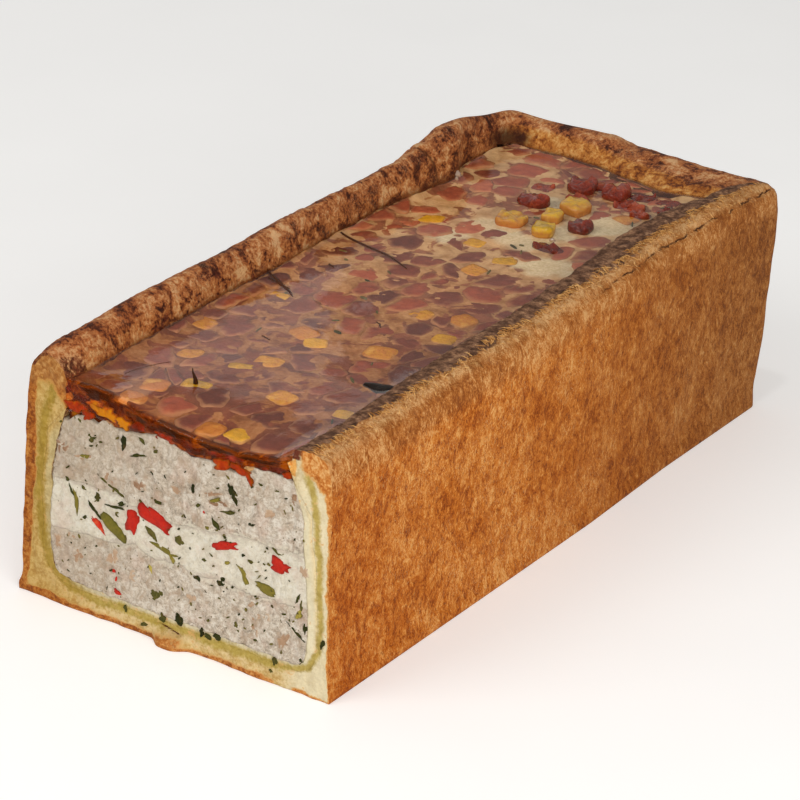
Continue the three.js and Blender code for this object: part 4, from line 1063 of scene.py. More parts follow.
def face_piece(x, z, wide, high, slant, seed, proud=0.35, deep=1.6, sides=22, square=0.75, lumpy=0.12,
               off=0.0):
    """A rounded chip set in the cut, its outline in the plane of the cut."""
    c, s = circle(sides)
    wobble = noise(1.3 * c + seed * 3.7, 1.3 * s, seed) + 0.5 * noise(3 * c + seed, 3 * s, seed + 5.0)
    out_x = squared(c, square) * wide / 2 * (1 + lumpy * wobble)
    out_z = squared(s, square) * high / 2 * (1 + lumpy * wobble)
    stack = [(FACE_BACK_SIZE, -deep), (1.0, -0.2), *((size, proud * share) for size, share, _ in FACE_RINGS)]
    points = []
    for size, out in stack:
        dx, dz = turned(out_x * size, out_z * size, slant)
        ring_x, ring_z = x + dx, z + dz
        lump = 0.12 * noise(ring_x / 0.8, seed, ring_z / 0.8) if out > 0 else 0.0
        points.append(np.stack([ring_x, cut_surface(ring_x, ring_z) - out + off + lump, ring_z], -1))
    tip = np.array([[x, float(cut_surface(x, z)) - proud + off, z]])
    return close_rings(points, tip)


def face_edge(sides):
    """How near the outline each point of a face piece is."""
    return np.append(np.repeat([1.0, 1.0, *(edge for _, _, edge in FACE_RINGS)], sides), 0.0)


def close_rings(rings, tip):
    """Points and faces of stacked rings, with a tip on the last and a flat end on the first."""
    n = len(rings[0])
    points = np.vstack([*rings, tip])
    steps = [(i, (i + 1) % n) for i in range(n)]
    last = (len(rings) - 1) * n
    faces = [[k + i, k + j, k + n + j, k + n + i] for k in range(0, last, n) for i, j in steps]
    faces += [[last + i, last + j, len(points) - 1] for i, j in steps]
    faces.append(list(range(n))[::-1])
    return points, faces


class Batch:
    """Many small solids gathered in one piece, each with its own tone."""

    def __init__(self):
        self.points, self.faces, self.tones, self.edges, self.count = [], [], [], [], 0

    def add(self, made, tone, side_shade=0.0, edge=None):
        """Adds a solid; its tone changes by side_shade from its top to 2 mm down, a painted shade on its
        sides; edge is 1 at its outline.
        """
        points, faces = made
        self.faces += [[v + self.count for v in face] for face in faces]
        self.points.append(points)
        down = clamp01((points[:, 2].max() - points[:, 2]) / 2.0)
        self.tones.append(tone + side_shade * down)
        self.edges.append(np.zeros(len(points)) if edge is None else edge)
        self.count += len(points)

    def piece(self, name, material, slot, replaces=()):
        zones = {"tone": np.concatenate(self.tones), "edge": np.concatenate(self.edges)}
        return make_piece(name, np.vstack(self.points), self.faces, [material], replaces, zones)


# Dark herb bits in the cut: x, z, length, height, slant.
HERBS = [
    (-30.0, 50.9, 3.2, 1.1, -14), (-25.9, 47.1, 2.8, 1.6, 12), (-16.0, 49.1, 3.3, 1.5, 84),
    (-9.9, 50.6, 3.2, 1.0, -16), (-6.2, 49.0, 1.4, 0.8, 40), (-6.7, 43.4, 1.9, 1.2, -8),
    (-11.6, 46.6, 4.6, 0.7, 14), (-24.1, 32.2, 1.4, 2.6, 16), (-25.0, 28.6, 4.2, 0.9, -38),
    (-31.9, 31.7, 2.9, 0.8, -62), (-33.1, 34.5, 1.2, 0.8, -40), (-28.4, 33.5, 1.3, 0.8, -30),
    (-16.2, 32.6, 2.6, 0.9, 16), (-18.4, 31.2, 5.0, 0.7, 6), (-5.4, 36.5, 2.2, 0.8, -12),
    (-6.7, 27.2, 3.2, 1.3, -38), (1.7, 28.2, 2.9, 2.4, -42), (5.3, 43.3, 1.0, 2.0, 8),
    (6.9, 39.2, 1.2, 0.7, 30), (16.2, 46.4, 1.5, 3.4, 24), (17.4, 43.9, 1.0, 2.4, 28),
    (12.1, 35.8, 2.4, 1.2, -46), (15.5, 39.9, 3.4, 0.9, 10), (22.9, 39.1, 1.6, 0.9, 20),
    (29.5, 49.4, 2.6, 0.8, 10), (35.4, 39.0, 1.2, 0.8, 60), (9.3, 25.8, 0.9, 0.8, 0),
    (22.9, 29.5, 1.5, 0.9, -6), (7.6, 20.3, 3.0, 1.1, -12), (14.2, 21.1, 3.1, 2.6, -28),
    (-5.6, 11.9, 3.3, 3.0, 24), (1.8, 7.6, 2.2, 4.3, 24), (-3.1, 6.4, 1.6, 2.6, 18),
    (19.1, 11.6, 1.3, 3.4, 10), (8.8, 6.6, 1.4, 2.2, -20), (10.9, 6.0, 2.0, 1.0, -14),
    (13.5, 6.8, 1.6, 1.4, 0), (30.7, 6.1, 0.9, 2.4, 4), (29.6, 3.1, 0.9, 0.9, 0),
    (38.2, 8.6, 1.4, 2.2, 0), (39.0, 17.0, 0.9, 2.8, -6), (44.0, 14.9, 1.0, 2.6, -14),
    (-9.0, 2.9, 2.4, 0.8, 14), (-14.7, 5.4, 1.1, 1.6, 0), (30.4, 34.4, 2.6, 1.4, -18),
    (36.8, 24.2, 0.8, 2.4, -20), (38.0, 22.6, 0.9, 2.8, 0), (20.6, 30.6, 0.9, 0.9, 0),
    (-20.6, 36.6, 8.8, 0.6, -26), (-27.6, 26.0, 1.2, 1.0, 0), (36.4, 15.6, 5.2, 0.6, -34),
]
BEANS = [
    (20.6, 25.8, 5.0, 1.6, -58), (27.6, 23.8, 7.2, 2.0, -8), (-3.2, 24.8, 7.4, 1.2, -8),
    (-0.4, 23.2, 2.6, 1.5, -46), (-30.7, 29.2, 0.9, 6.2, 8), (12.2, 30.4, 1.6, 1.0, 10),
    (-7.0, 18.2, 1.6, 3.4, 10), (-27.9, 41.8, 3.0, 1.2, 18), (12.0, 42.0, 3.4, 1.0, 26),
    (9.6, 34.2, 1.6, 0.8, 0), (37.2, 20.2, 1.3, 2.8, -24), (15.8, 27.0, 1.4, 1.0, 30),
]
PEPPERS = [
    (-23.6, 25.0, 6.2, 1.5, -41), (-17.0, 11.9, 1.9, 1.7, -10), (-17.5, 8.9, 2.5, 1.6, -24),
    (-18.6, 14.2, 1.0, 0.9, 0), (8.6, 38.0, 0.8, 0.6, 0),
]
TANS = [
    (-35.0, 42.4, 2.4, 2.2, 10), (-20.6, 38.6, 3.4, 2.6, -20), (-11.2, 38.8, 2.4, 1.8, 0),
    (-27.8, 41.6, 4.0, 1.4, 18), (-29.5, 15.5, 2.8, 2.6, 30), (-32.2, 19.5, 1.8, 1.6, 0),
    (-36.2, 17.3, 1.6, 3.2, 12), (-19.0, 17.8, 3.0, 2.4, 60), (10.9, 43.4, 3.6, 1.2, 14),
    (11.9, 41.0, 3.4, 1.1, -24), (14.6, 41.8, 2.6, 1.0, -20), (34.6, 48.6, 1.8, 3.0, 10),
    (38.4, 31.8, 1.6, 2.6, -6), (23.4, 18.8, 2.4, 2.0, -30), (33.2, 12.0, 4.6, 4.0, 20),
    (24.0, 13.0, 1.4, 4.4, 18), (26.6, 16.4, 3.0, 2.0, 0), (5.4, 14.4, 2.6, 1.8, 30),
    (-12.6, 14.6, 2.6, 1.8, 0), (28.2, 43.0, 2.6, 1.6, 10), (0.4, 41.0, 2.2, 1.4, -20),
]


# Chunks in the jelly's edge at the cut: x, z, length, height, slant, tone, and how far in they sit.
BAND_CHUNKS = [
    (-30.4, 54.0, 6.4, 2.6, -8, 0.64, 0.0), (-26.8, 52.9, 3.6, 2.2, 20, 0.60, -0.2),
    (-24.0, 58.6, 10.4, 2.4, -3, 0.24, 0.3), (-21.0, 54.8, 8.4, 4.2, -10, 0.92, 0.1),
    (-16.0, 53.6, 5.0, 3.4, 14, 1.0, 0.0), (-24.6, 56.2, 4.6, 2.0, 8, 0.80, 0.3),
    (-13.0, 56.6, 7.6, 1.8, -14, 0.28, 0.3), (-11.6, 53.9, 4.4, 2.2, -8, 0.50, 0.3),
    (-7.0, 54.4, 4.2, 1.8, -8, 0.34, 0.4), (-3.6, 53.4, 6.0, 1.8, -4, 0.56, 0.2),
    (1.4, 53.6, 5.4, 2.2, -10, 0.40, 0.4), (6.4, 52.6, 5.6, 2.0, 6, 0.30, 0.3),
    (11.8, 53.4, 5.4, 1.6, 3, 0.48, 0.4), (16.0, 53.9, 7.0, 1.6, 4, 0.52, 0.5),
    (14.4, 51.6, 5.6, 2.4, 6, 0.66, -0.3), (18.8, 52.0, 5.4, 2.2, -2, 0.62, -0.3),
    (21.4, 50.4, 3.0, 1.6, -60, 0.60, -0.3), (25.0, 53.2, 5.0, 1.8, 8, 0.42, 0.3),
    (29.4, 54.4, 6.4, 1.8, 5, 0.42, 0.4), (32.4, 54.0, 3.0, 2.0, 10, 0.62, -0.1),
    (-33.6, 58.0, 3.0, 4.0, 20, 0.40, 0.4), (-1.0, 55.3, 12.0, 1.3, -4, 0.24, 0.25),
    (12.0, 54.9, 11.0, 1.1, 2, 0.26, 0.25), (25.0, 55.5, 11.0, 1.2, 5, 0.22, 0.25),
    (-28.6, 56.4, 5.0, 1.4, -4, 0.40, 0.4),
]
# The biggest vegetable pieces in the cut: x, z, length, height, slant, seed.
BEAN_WEDGE = (-18.8, 25.8, 9.8, 2.9, -34, 7)
BIG_PEPPERS = [(-5.6, 31.7, 9.4, 3.5, -19, 3), (-12.9, 28.8, 3.8, 4.8, -10, 5),
               (15.5, 31.4, 7.6, 2.3, 13, 8), (31.2, 31.0, 5.8, 3.1, -6, 2)]
FINE_HERB_COUNT = 150


def build_cut_pieces():
    rng = np.random.default_rng(41)
    band, herbs, beans, peppers, tans = (Batch() for _ in range(5))

    def add_chips(batch, chips, seed, tones, grow=(1.0, 1.0), **form):
        for i, (x, z, wide, high, slant) in enumerate(chips):
            made = face_piece(x, z, wide * grow[0], high * grow[1], slant, i + seed, **form)
            batch.add(made, rng.uniform(*tones), 0.0, face_edge(form["sides"]))

    for i, (*form, tone, depth) in enumerate(BAND_CHUNKS):
        made = face_piece(*form, i + 80, deep=1.4, sides=40, square=0.9, lumpy=0.45, off=depth)
        band.add(made, tone, 0.0, face_edge(40))
    add_chips(herbs, HERBS, 1, (0.2, 0.75), (1.1, 1.0), proud=0.4, sides=22, square=1.25, lumpy=0.6)
    for i in range(FINE_HERB_COUNT):
        x, z = rng.uniform(-36.5, 38), rng.uniform(9, 50.5)
        long, thin = rng.uniform(0.35, 1.3), rng.uniform(0.22, 0.45)
        made = face_piece(x, z, long, thin, rng.uniform(0, 180), i + 100, proud=0.45, sides=8, square=1.1,
                          lumpy=0.3)
        herbs.add(made, rng.uniform(0.3, 1.0))
    add_chips(beans, BEANS, 20, (0.35, 0.9), proud=0.3, sides=30, lumpy=0.45)
    beans.add(face_piece(*BEAN_WEDGE, proud=0.6, deep=4.0, sides=36), 0.38, 0.0, face_edge(36))
    add_chips(peppers, PEPPERS, 40, (0.45, 0.8), proud=0.3, sides=30, lumpy=0.5)
    for form in BIG_PEPPERS:
        made = face_piece(*form, proud=0.5, deep=4.0, sides=44, square=0.62, lumpy=0.42)
        peppers.add(made, 0.6, 0.0, face_edge(44))
    add_chips(tans, TANS, 60, (0.2, 0.8), (1.15, 1.15), proud=0.2, sides=30, lumpy=0.8)
    band.piece("band_chunks", BAND, "meat")
    herbs.piece("herb_bits", HERB, "bean")
    beans.piece("bean_bits", BEAN, "bean", ["bean_wedge"])
    peppers.piece("pepper_bits", PEPPER, "pepper",
                  ["pepper_large", "pepper_square", "pepper_lens", "pepper_block"])
    tans.piece("tan_bits", TAN, "farce")


# ---------------------------------------------------------------- jelly and what is set in it
def creep(side, away):
    """How far the jelly has crept up at a distance from the foot of one rim."""
    high, reach = CREEP[side]
    return high * np.exp(-np.maximum(0, away) / reach)


def jelly_top(x, y):
    """Height of the jelly: it creeps up the rims and bends down to its edge at the cut."""
    sides = creep("left", x - along(LEFT_FOOT, y)) + creep("right", along(RIGHT_FOOT, y) - x)
    level = jelly_level(y) + creep("back", along(BACK_FOOT, x) - y) + 0.12 * noise(x / 9, y / 9, 3.0)
    bend = np.exp(-(np.maximum(0, y + 104.0) / 8.5) ** 1.25)
    return lerp(level + sides, along(JELLY_EDGE, x) + 0.15 * noise(x / 3, 2.0, 1.0), bend)


def jelly_plan(rows, count, tuck):
    """Points in plan over the jelly, from the cut to the back and from left to right."""
    share, way = np.linspace(0, 1, count)[None, :], np.linspace(0, 1, rows)[:, None]
    x = lerp(-34.0, 34.0, share) + 0 * way
    y = JELLY_EDGE_Y + 0 * x
    # The edges depend on each other's places, so a few rounds settle them.
    for _ in range(4):
        front = cut_surface(x, jelly_top(x, np.full(x.shape, JELLY_EDGE_Y)))
        back = along(BACK_FOOT, x) + tuck
        y = lerp(front, back, way)
        round_off = 3.5 * smooth(88, 98, y)
        x = lerp(along(LEFT_FOOT, y) - tuck + round_off, along(RIGHT_FOOT, y) + tuck - round_off, share)
    return x, y


def hanging_front(top, bottom_z, down, drop=0.0):
    """Places and shares of a grid that hangs in the cut from the first row of a top."""
    share = np.linspace(0, 1, down)[:, None]
    return top[0, :, 0] + 0 * share, lerp(top[0, :, 2] - drop, bottom_z, share), share


def build_jelly():
    rows, count, down = 200, 76, 12
    x, y = jelly_plan(rows, count, 0.7)
    top = np.stack([x, y, jelly_top(x, y)], -1)
    floor_z = farce_top((x - FARCE_START_X) / (FARCE_END_X - FARCE_START_X)) + 0.4
    front_x, front_z, share = hanging_front(top, floor_z[0], down)
    waves = smooth(0, 0.25, share) * (0.25 * rough(front_x, 3.0, front_z, 3.0) - 0.2)
    front = np.stack([front_x, cut_surface(front_x, front_z) + waves, front_z], -1)
    sheet = np.concatenate([front[:0:-1], top], 0)
    points = sheet.reshape(-1, 3)
    faces = grid_faces(sheet.shape[0], count)
    k = np.arange(sheet.shape[0] * count).reshape(sheet.shape[0], count)
    # Sides and underside: straight down from the edges, then flat.
    edge = np.concatenate([k[down - 1:, -1], k[-1, -2::-1], k[-2:down - 2:-1, 0]]).tolist()
    below = points[edge].copy()
    below[:, 2] = floor_z.mean()
    under = list(range(len(points), len(points) + len(edge)))
    faces += [list(quad) for quad in zip(edge[1:], edge[:-1], under[:-1], under[1:])]
    faces.append([*k[0].tolist(), *under][::-1])
    kinds = np.zeros(len(faces))
    kinds[:(down - 1) * (count - 1)] = 1
    jelly = make_piece("jelly_fine", np.vstack([points, below]), faces, [JELLY, JELLY_CUT],
                       ["jelly"], None, kinds)
    jelly.visible_shadow = False


# Pale meat in the bed: x, y, and half its width and depth.
PALE_SPOTS = [(-6.6, 43.6, 9, 6), (4.1, 38.1, 8, 6), (18.7, 27.5, 9, 7), (-0.7, 65.9, 8, 6),
              (15.8, 59.9, 10, 7), (22.0, 62.0, 8, 5), (28.6, 57.1, 6, 6), (-14.0, 30.0, 6, 5),
              (8.0, 48.0, 7, 6)]
# How far the bed lies under the jelly's top, and how far down it hangs behind the cut.
BED_UNDER_TOP = 1.25
BED_FOOT_Z = 49.0


def pale_distance(x, y, spot):
    """How far a place is from the middle of a pale spot, squared, as a share of its size."""
    middle_x, middle_y, wide, deep = spot
    return ((x - middle_x) / wide) ** 2 + ((y - middle_y) / deep) ** 2


def build_bed():
    """The tan meat between the sunk pieces, a little below the jelly's top."""
    rows, count, down = 150, 60, 9
    x, y = jelly_plan(rows, count, 0.3)
    y = y + 0.5 * smooth(-98, -106, y)
    lumps = 0.5 * rough(x, y, 2.0, 5.0, 2)
    top = np.stack([x, y, jelly_top(x, y) - BED_UNDER_TOP - lumps - 0.15 * noise(x / 1.4, y / 1.4, 1.0)], -1)
    front_x, front_z, _ = hanging_front(top, BED_FOOT_Z, down, 0.2)
    front_y = cut_surface(front_x, front_z) + 0.75 + 0.3 * rough(front_x, 9.0, front_z, 2.4)
    sheet = np.concatenate([np.stack([front_x, front_y, front_z], -1)[::-1], top], 0)
    points = sheet.reshape(-1, 3)
    x, y = points[:, 0], points[:, 1]
    blur = 0.5 * noise(x / 3, y / 3, 8.0)
    pale = np.max([smooth(1.3, 0.5, pale_distance(x, y, spot) + blur) for spot in PALE_SPOTS], axis=0)
    zones = {"pale": pale, "amber": smooth(-99.8, -101.9, y)}
    make_piece("set_meat", points, grid_faces(sheet.shape[0], count), [BED], (), zones)


def clip_cell(cell, centre, away, limit):
    """The part of a cell that reaches no further than limit from the centre in one direction."""
    kept = []
    for point, following in zip(cell, [*cell[1:], cell[0]]):
        here = float((point - centre) @ away) - limit
        there = float((following - centre) @ away) - limit
        if here <= 0:
            kept.append(point)
        if (here < 0 < there) or (there < 0 < here):
            kept.append(lerp(point, following, here / (here - there)))
    return kept


def round_corners(polygon, count):
    """A polygon with its corners cut round, as count points."""
    line = np.array(polygon)
    for cut in (0.16, 0.22, 0.25):
        after = np.roll(line, -1, axis=0)
        line = np.stack([lerp(line, after, cut), lerp(line, after, 1 - cut)], 1).reshape(-1, 2)
    ring = resample(np.vstack([line, line[:1]]), count + 1)
    return ring[:-1]


def set_piece(outline, top_z, tall, tilt, seed, dome=0.25, lumpy=0.12):
    """A sunk piece: an outline in plan, with rounded upper edges."""
    centre = outline.mean(0)
    rings = []
    for size, down in ((0.90, tall), (1.0, 1.5), (0.985, 0.6), (0.92, 0.16), (0.72, 0.0), (0.38, -dome)):
        ring = centre + (outline - centre) * size
        offset = ring - centre
        lump = lumpy * noise(ring[:, 0] / 1.6, ring[:, 1] / 1.6, seed) if down < 1 else 0.0
        z = top_z - down + offset @ tilt + lump
        rings.append(np.stack([ring[:, 0], ring[:, 1], z], -1))
    tip = np.array([[centre[0], centre[1], top_z + dome * 1.1]])
    points, faces = close_rings(rings, tip)
    points[:, 1] = np.maximum(points[:, 1], cut_surface(points[:, 0], points[:, 2]) + 0.4)
    return points, faces


# Vegetable cubes sunk in the jelly: x, y, wide, deep, turn, tone (0 olive-yellow to 1 orange).
SUNK_CUBES = [
    (-17.8, -89.4, 7.4, 7.0, 20, 0.85), (-10.0, -83.0, 8.0, 5.4, 8, 0.25), (-17.3, -98.0, 7.0, 6.0, 10, 0.80),
    (6.0, -97.4, 7.6, 6.4, 12, 0.72), (13.6, -96.6, 7.0, 6.0, -8, 0.30), (-4.0, -62.4, 7.6, 6.4, 14, 0.55),
    (10.9, -76.9, 7.6, 6.8, -12, 0.55), (-31.0, -53.8, 6.8, 6.4, 0, 0.62), (-22.7, -69.4, 6.6, 6.0, 16, 0.58),
    (-7.3, -68.4, 7.6, 3.4, 24, 0.22), (-26.2, -29.3, 6.0, 5.4, 8, 0.45), (-7.2, -43.6, 8.0, 6.6, -20, 0.68),
    (-1.3, -46.8, 6.4, 6.0, 30, 0.36), (15.0, -42.1, 8.4, 7.6, 12, 0.60), (9.4, -16.8, 7.6, 6.0, -8, 0.52),
    (20.7, -14.0, 7.8, 7.0, -20, 0.66), (23.6, -26.3, 6.6, 6.2, 10, 0.45), (5.0, 14.6, 7.0, 6.2, -10, 0.58),
    (7.9, 24.7, 7.0, 5.8, 24, 0.30), (-5.3, 30.5, 6.0, 5.6, 4, 0.40), (-24.5, 37.7, 7.6, 6.2, 14, 0.38),
    (19.0, 68.0, 7.4, 6.0, -14, 0.66), (28.8, -76.0, 6.0, 5.0, 10, 0.34),
]
# Cubes and dark meat that stand out of the jelly: x, y, wide, deep, proud, turn, seed; cubes have
# a tone too. Sunk meat is the same, with little or nothing of it proud.
PROUD_CUBES = [(-5.0, 47.9, 8.4, 7.0, 1.8, 6, 11, 0.42), (4.9, 65.0, 7.8, 7.6, 2.4, -8, 12, 0.34),
               (2.9, 56.3, 5.4, 6.2, 1.8, 12, 13, 0.30), (6.3, 46.3, 6.2, 6.4, 2.2, 20, 14, 0.16)]
PROUD_MEAT = [(-7.8, 63.4, 9.4, 6.6, 1.6, -10, 15), (-2.6, 80.6, 8.0, 8.4, 1.8, 14, 16),
              (7.9, 81.3, 7.4, 8.0, 2.0, -6, 17), (13.0, 54.6, 6.6, 6.4, 1.8, 8, 18)]
SUNK_MEAT = [(23.0, 85.0, 9.0, 6.0, -0.2, 0, 21), (15.0, 84.0, 7.0, 5.0, 0.3, 20, 22),
             (17.0, 76.0, 6.0, 5.0, 0.4, 10, 23), (-12.0, 75.0, 6.4, 5.0, -0.3, 0, 24),
             (13.0, 38.0, 9.4, 4.4, 0.4, -4, 25), (0.6, 72.8, 7.0, 4.4, 0.2, 12, 26),
             (2.4, 84.6, 7.0, 4.6, 0.5, 8, 27), (13.2, 76.6, 6.0, 5.0, 0.4, 30, 28),
             (27.0, 78.0, 6.6, 5.0, 0.2, -12, 29), (21.0, 72.6, 6.0, 4.0, 0.1, 6, 30)]
# How near the outline each ring of a sunk piece is, from its foot to its tip.
CUBE_EDGE = [1.0, 1.0, 1.0, 0.72, 0.25, 0.0]
HAM_EDGE = [1.0, 1.0, 1.0, 0.86, 0.52, 0.10]
# The ham is cells round scattered centres: how many, how far apart, how far a cell may reach, and
# the narrowest one that is kept.
HAM_ROWS, HAM_COLUMNS, HAM_SIDES = 23, 9, 44
HAM_PITCH_X, HAM_PITCH_Y = 9.4, 9.0
HAM_REACH = 11.0
SMALLEST_HAM = 2.2
SUNK_HERB_COUNT = 24


def box_outline(x, y, wide, deep, turn, seed, count=28, square=0.5):
    """A rounded, slightly uneven box in plan."""
    c, s = circle(count)
    wobble = 1 + 0.08 * noise(1.4 * c + seed, 1.4 * s, seed * 1.7)
    dx, dy = turned(squared(c, square) * wide / 2 * wobble, squared(s, square) * deep / 2 * wobble, turn)
    return np.stack([x + dx, y + dy], -1)


def ham_cell(here, weight, gap, others):
    """The cell round one centre that is nearer to it than to the others, or None if none is left."""
    corners = ((-1, -1), (1, -1), (1, 1), (-1, 1))
    cell = [here + HAM_REACH * np.array(corner) for corner in corners]
    for x, y, other_weight in others:
        away = np.array([x, y]) - here
        far = float(np.linalg.norm(away))
        if far < 0.5:
            continue
        limit = (far * far + weight - other_weight) / (2 * far) - gap / 2
        cell = clip_cell(cell, here, away / far, limit)
        if len(cell) < 3:
            return None
    return cell


def ham_outline(cell, seed):
    """A cell with rounded and ragged edges, kept inside the jelly."""
    outline = round_corners(cell, HAM_SIDES)
    x, y = outline.T
    middle = outline.mean(0)
    ragged = 0.11 * noise(x / 2.4, y / 2.4, seed) + 0.06 * noise(x, y, seed)
    x, y = (middle + (outline - middle) * (1.0 + ragged)[:, None]).T
    inside_x = np.clip(x, along(LEFT_FOOT, y) + 0.3, along(RIGHT_FOOT, y) - 0.3)
    return np.stack([inside_x, np.clip(y, -101.2, along(BACK_FOOT, x) - 0.3)], -1)


def add_ham(ham, rng, taken):
    """Cells between scattered centres, some left out so that the bed shows."""
    centres = []
    for row in range(HAM_ROWS):
        for column in range(HAM_COLUMNS):
            x = -40.0 + HAM_PITCH_X * (column + 0.5 * (row % 2)) + rng.uniform(-3.8, 3.8)
            y = -104.0 + HAM_PITCH_Y * row + rng.uniform(-3.4, 3.4)
            centres.append((x, y, rng.uniform(-14.0, 14.0)))
    edge = np.append(np.repeat(HAM_EDGE, HAM_SIDES), 0.0)
    for i, (x, y, weight) in enumerate(centres):
        if rng.random() < lerp(0.07, 0.20, smooth(-60, 60, y)):
            continue
        if any(pale_distance(x, y, spot) < 0.8 for spot in PALE_SPOTS):
            continue
        gap = rng.uniform(0.05, lerp(0.5, 1.25, smooth(-80, 30, y)))
        others = [other for k, other in enumerate(centres) if k != i]
        others += [(a, b, weight + (4.2 - radius) * 6) for a, b, radius in taken]
        others = [other for other in others if math.hypot(other[0] - x, other[1] - y) < 2 * HAM_REACH]
        cell = ham_cell(np.array([x, y]), weight, gap, others)
        if cell is None:
            continue
        outline = ham_outline(cell, i)
        if np.ptp(outline, axis=0).min() < SMALLEST_HAM:
            continue
        middle = outline.mean(0)
        top = float(jelly_top(middle[0], max(middle[1], -98.0))) - rng.uniform(0.7, 1.3)
        tone = np.clip(rng.normal(0.27, 0.16) + 0.30 * smooth(-20, 60, y), 0.08, 0.95)
        piece = set_piece(outline, top, 4.5, rng.uniform(-0.07, 0.07, 2), i + 0.5, dome=0.05, lumpy=0.35)
        # The ham's sides are a little darker than its top: painted shade.
        ham.add(piece, float(tone), -0.15, edge)


def build_set_pieces():
    rng = np.random.default_rng(23)
    cubes, meat, ham, herbs = (Batch() for _ in range(4))
    for i, (x, y, wide, deep, turn, tone) in enumerate(SUNK_CUBES):
        outline = box_outline(x, y, wide, deep, turn, i + 3)
        tilt = rng.uniform(-0.10, 0.10, 2)
        top = float(jelly_top(x, y)) - rng.uniform(0.7, 1.1)
        soft_edge = np.append(np.repeat(CUBE_EDGE, len(outline)), 0.0)
        cubes.add(set_piece(outline, top, 4.5, tilt, i + 3.0, dome=0.1, lumpy=0.25), tone, 0.0, soft_edge)
    for x, y, wide, deep, proud, turn, seed, tone in PROUD_CUBES:
        outline = box_outline(x, y, wide, deep, turn, seed, 34, 0.55)
        tilt = rng.uniform(-0.05, 0.05, 2)
        top = float(jelly_level(y)) + proud
        # The proud cubes' sides turn a darker orange than their tops: painted shade.
        cubes.add(set_piece(outline, top, 5.6, tilt, seed, dome=0.1, lumpy=0.6), tone, 0.5)
    for x, y, wide, deep, proud, turn, seed in PROUD_MEAT + SUNK_MEAT:
        outline = box_outline(x, y, wide, deep, turn, seed, 34, 0.62)
        tilt, tone = rng.uniform(-0.06, 0.06, 2), rng.uniform(0.55, 0.90)
        top = float(jelly_level(y)) + proud
        # The meat's sides are darker than its top: painted shade.
        meat.add(set_piece(outline, top, 5.6, tilt, seed, dome=0.2, lumpy=1.3), tone, -0.3)
    pieces = SUNK_CUBES + PROUD_CUBES + PROUD_MEAT + SUNK_MEAT
    add_ham(ham, rng, [(x, y, (wide + deep) / 4) for x, y, wide, deep, *_ in pieces])
    for i in range(SUNK_HERB_COUNT):
        y = rng.uniform(-98, 84)
        x = rng.uniform(float(along(LEFT_FOOT, y)) + 3, float(along(RIGHT_FOOT, y)) - 3)
        long, thin = rng.uniform(1.2, 3.4), rng.uniform(0.4, 0.9)
        outline = box_outline(x, y, long, thin, rng.uniform(0, 180), i + 60, 10, 0.9)
        top = float(jelly_top(x, y)) - rng.uniform(0.3, 0.6)
        herbs.add(set_piece(outline, top, 0.7, np.zeros(2), i, dome=0.02, lumpy=0.0), rng.uniform(0.45, 0.95))
    cubes.piece("jelly_cubes", CUBE, "cube", ["cube_1", "cube_2", "cube_3", "cube_4"])
    meat.piece("jelly_meat", MEAT, "meat", ["meat_1", "meat_2", "meat_3", "meat_4"])
    ham.piece("jelly_ham", HAM, "meat")
    herbs.piece("jelly_herbs", HERB, "bean")


# Thin dark slivers on the jelly: from x, y to x, y, and width.
SLIVERS = [(-36.2, 12.0, -9.2, 4.4, 1.3), (-35.6, -21.0, -22.2, -28.0, 1.3),
           (-34.0, -23.4, -26.0, -24.6, 0.6), (-27.4, -5.6, -25.2, -6.4, 1.0),
           (-26.8, -89.8, -22.7, -77.6, 0.3), (30.2, -44.6, 31.4, -42.8, 1.2),
           (4.0, -28.0, 7.0, -30.5, 0.5), (-14.0, -52.0, -11.0, -53.0, 0.5)]
# A dark wedge by the right rim: its corners, x, y.
WEDGE = [(22.0, -60.3), (25.4, -58.6), (29.6, -57.4), (32.2, -57.8), (30.8, -61.0), (28.8, -62.8),
         (25.4, -61.2)]
# A spike near the cut: its foot, and rings of radius, height and lean.
SPIKE_FOOT = np.array([-10.2, -83.2, 59.0])
SPIKE_RINGS = [(0.7, -0.8, 0.0), (0.5, 0.8, -0.2), (0.28, 2.0, -0.8), (0.08, 3.2, -1.0)]
# Clear drops: x, y, radius, height.
DROPS = [(-35.0, 65.6, 1.3, 0.42), (-33.6, 63.6, 0.5, 0.12), (11.0, 43.4, 0.9, 0.06)]


def sliver(x0, y0, x1, y1, width, seed):
    """A flat curved splinter, widest near its first end."""
    t = np.linspace(0, 1, 14)
    long = math.hypot(x1 - x0, y1 - y0)
    bend = 0.05 * long * np.sin(t * math.pi) + 0.25 * noise(t * 5, seed, 1.0)
    side_x, side_y = (y0 - y1) / long, (x1 - x0) / long
    x, y = lerp(x0, x1, t) + side_x * bend, lerp(y0, y1, t) + side_y * bend
    half = width / 2 * np.sin(np.pi * np.minimum(0.12 + 0.88 * t, 1.0)) ** 0.6 + 0.04
    level = jelly_top(x, y)
    corners = [(-1, -0.25), (0, 0.30), (1, -0.25), (0, -0.40)]
    rings = [np.stack([x + side_x * half * a, y + side_y * half * a, level + b * min(width, 0.8)], -1)
             for a, b in corners]
    rings = np.stack(rings, 1)
    return close_rings(list(rings), rings[-1].mean(0)[None, :])


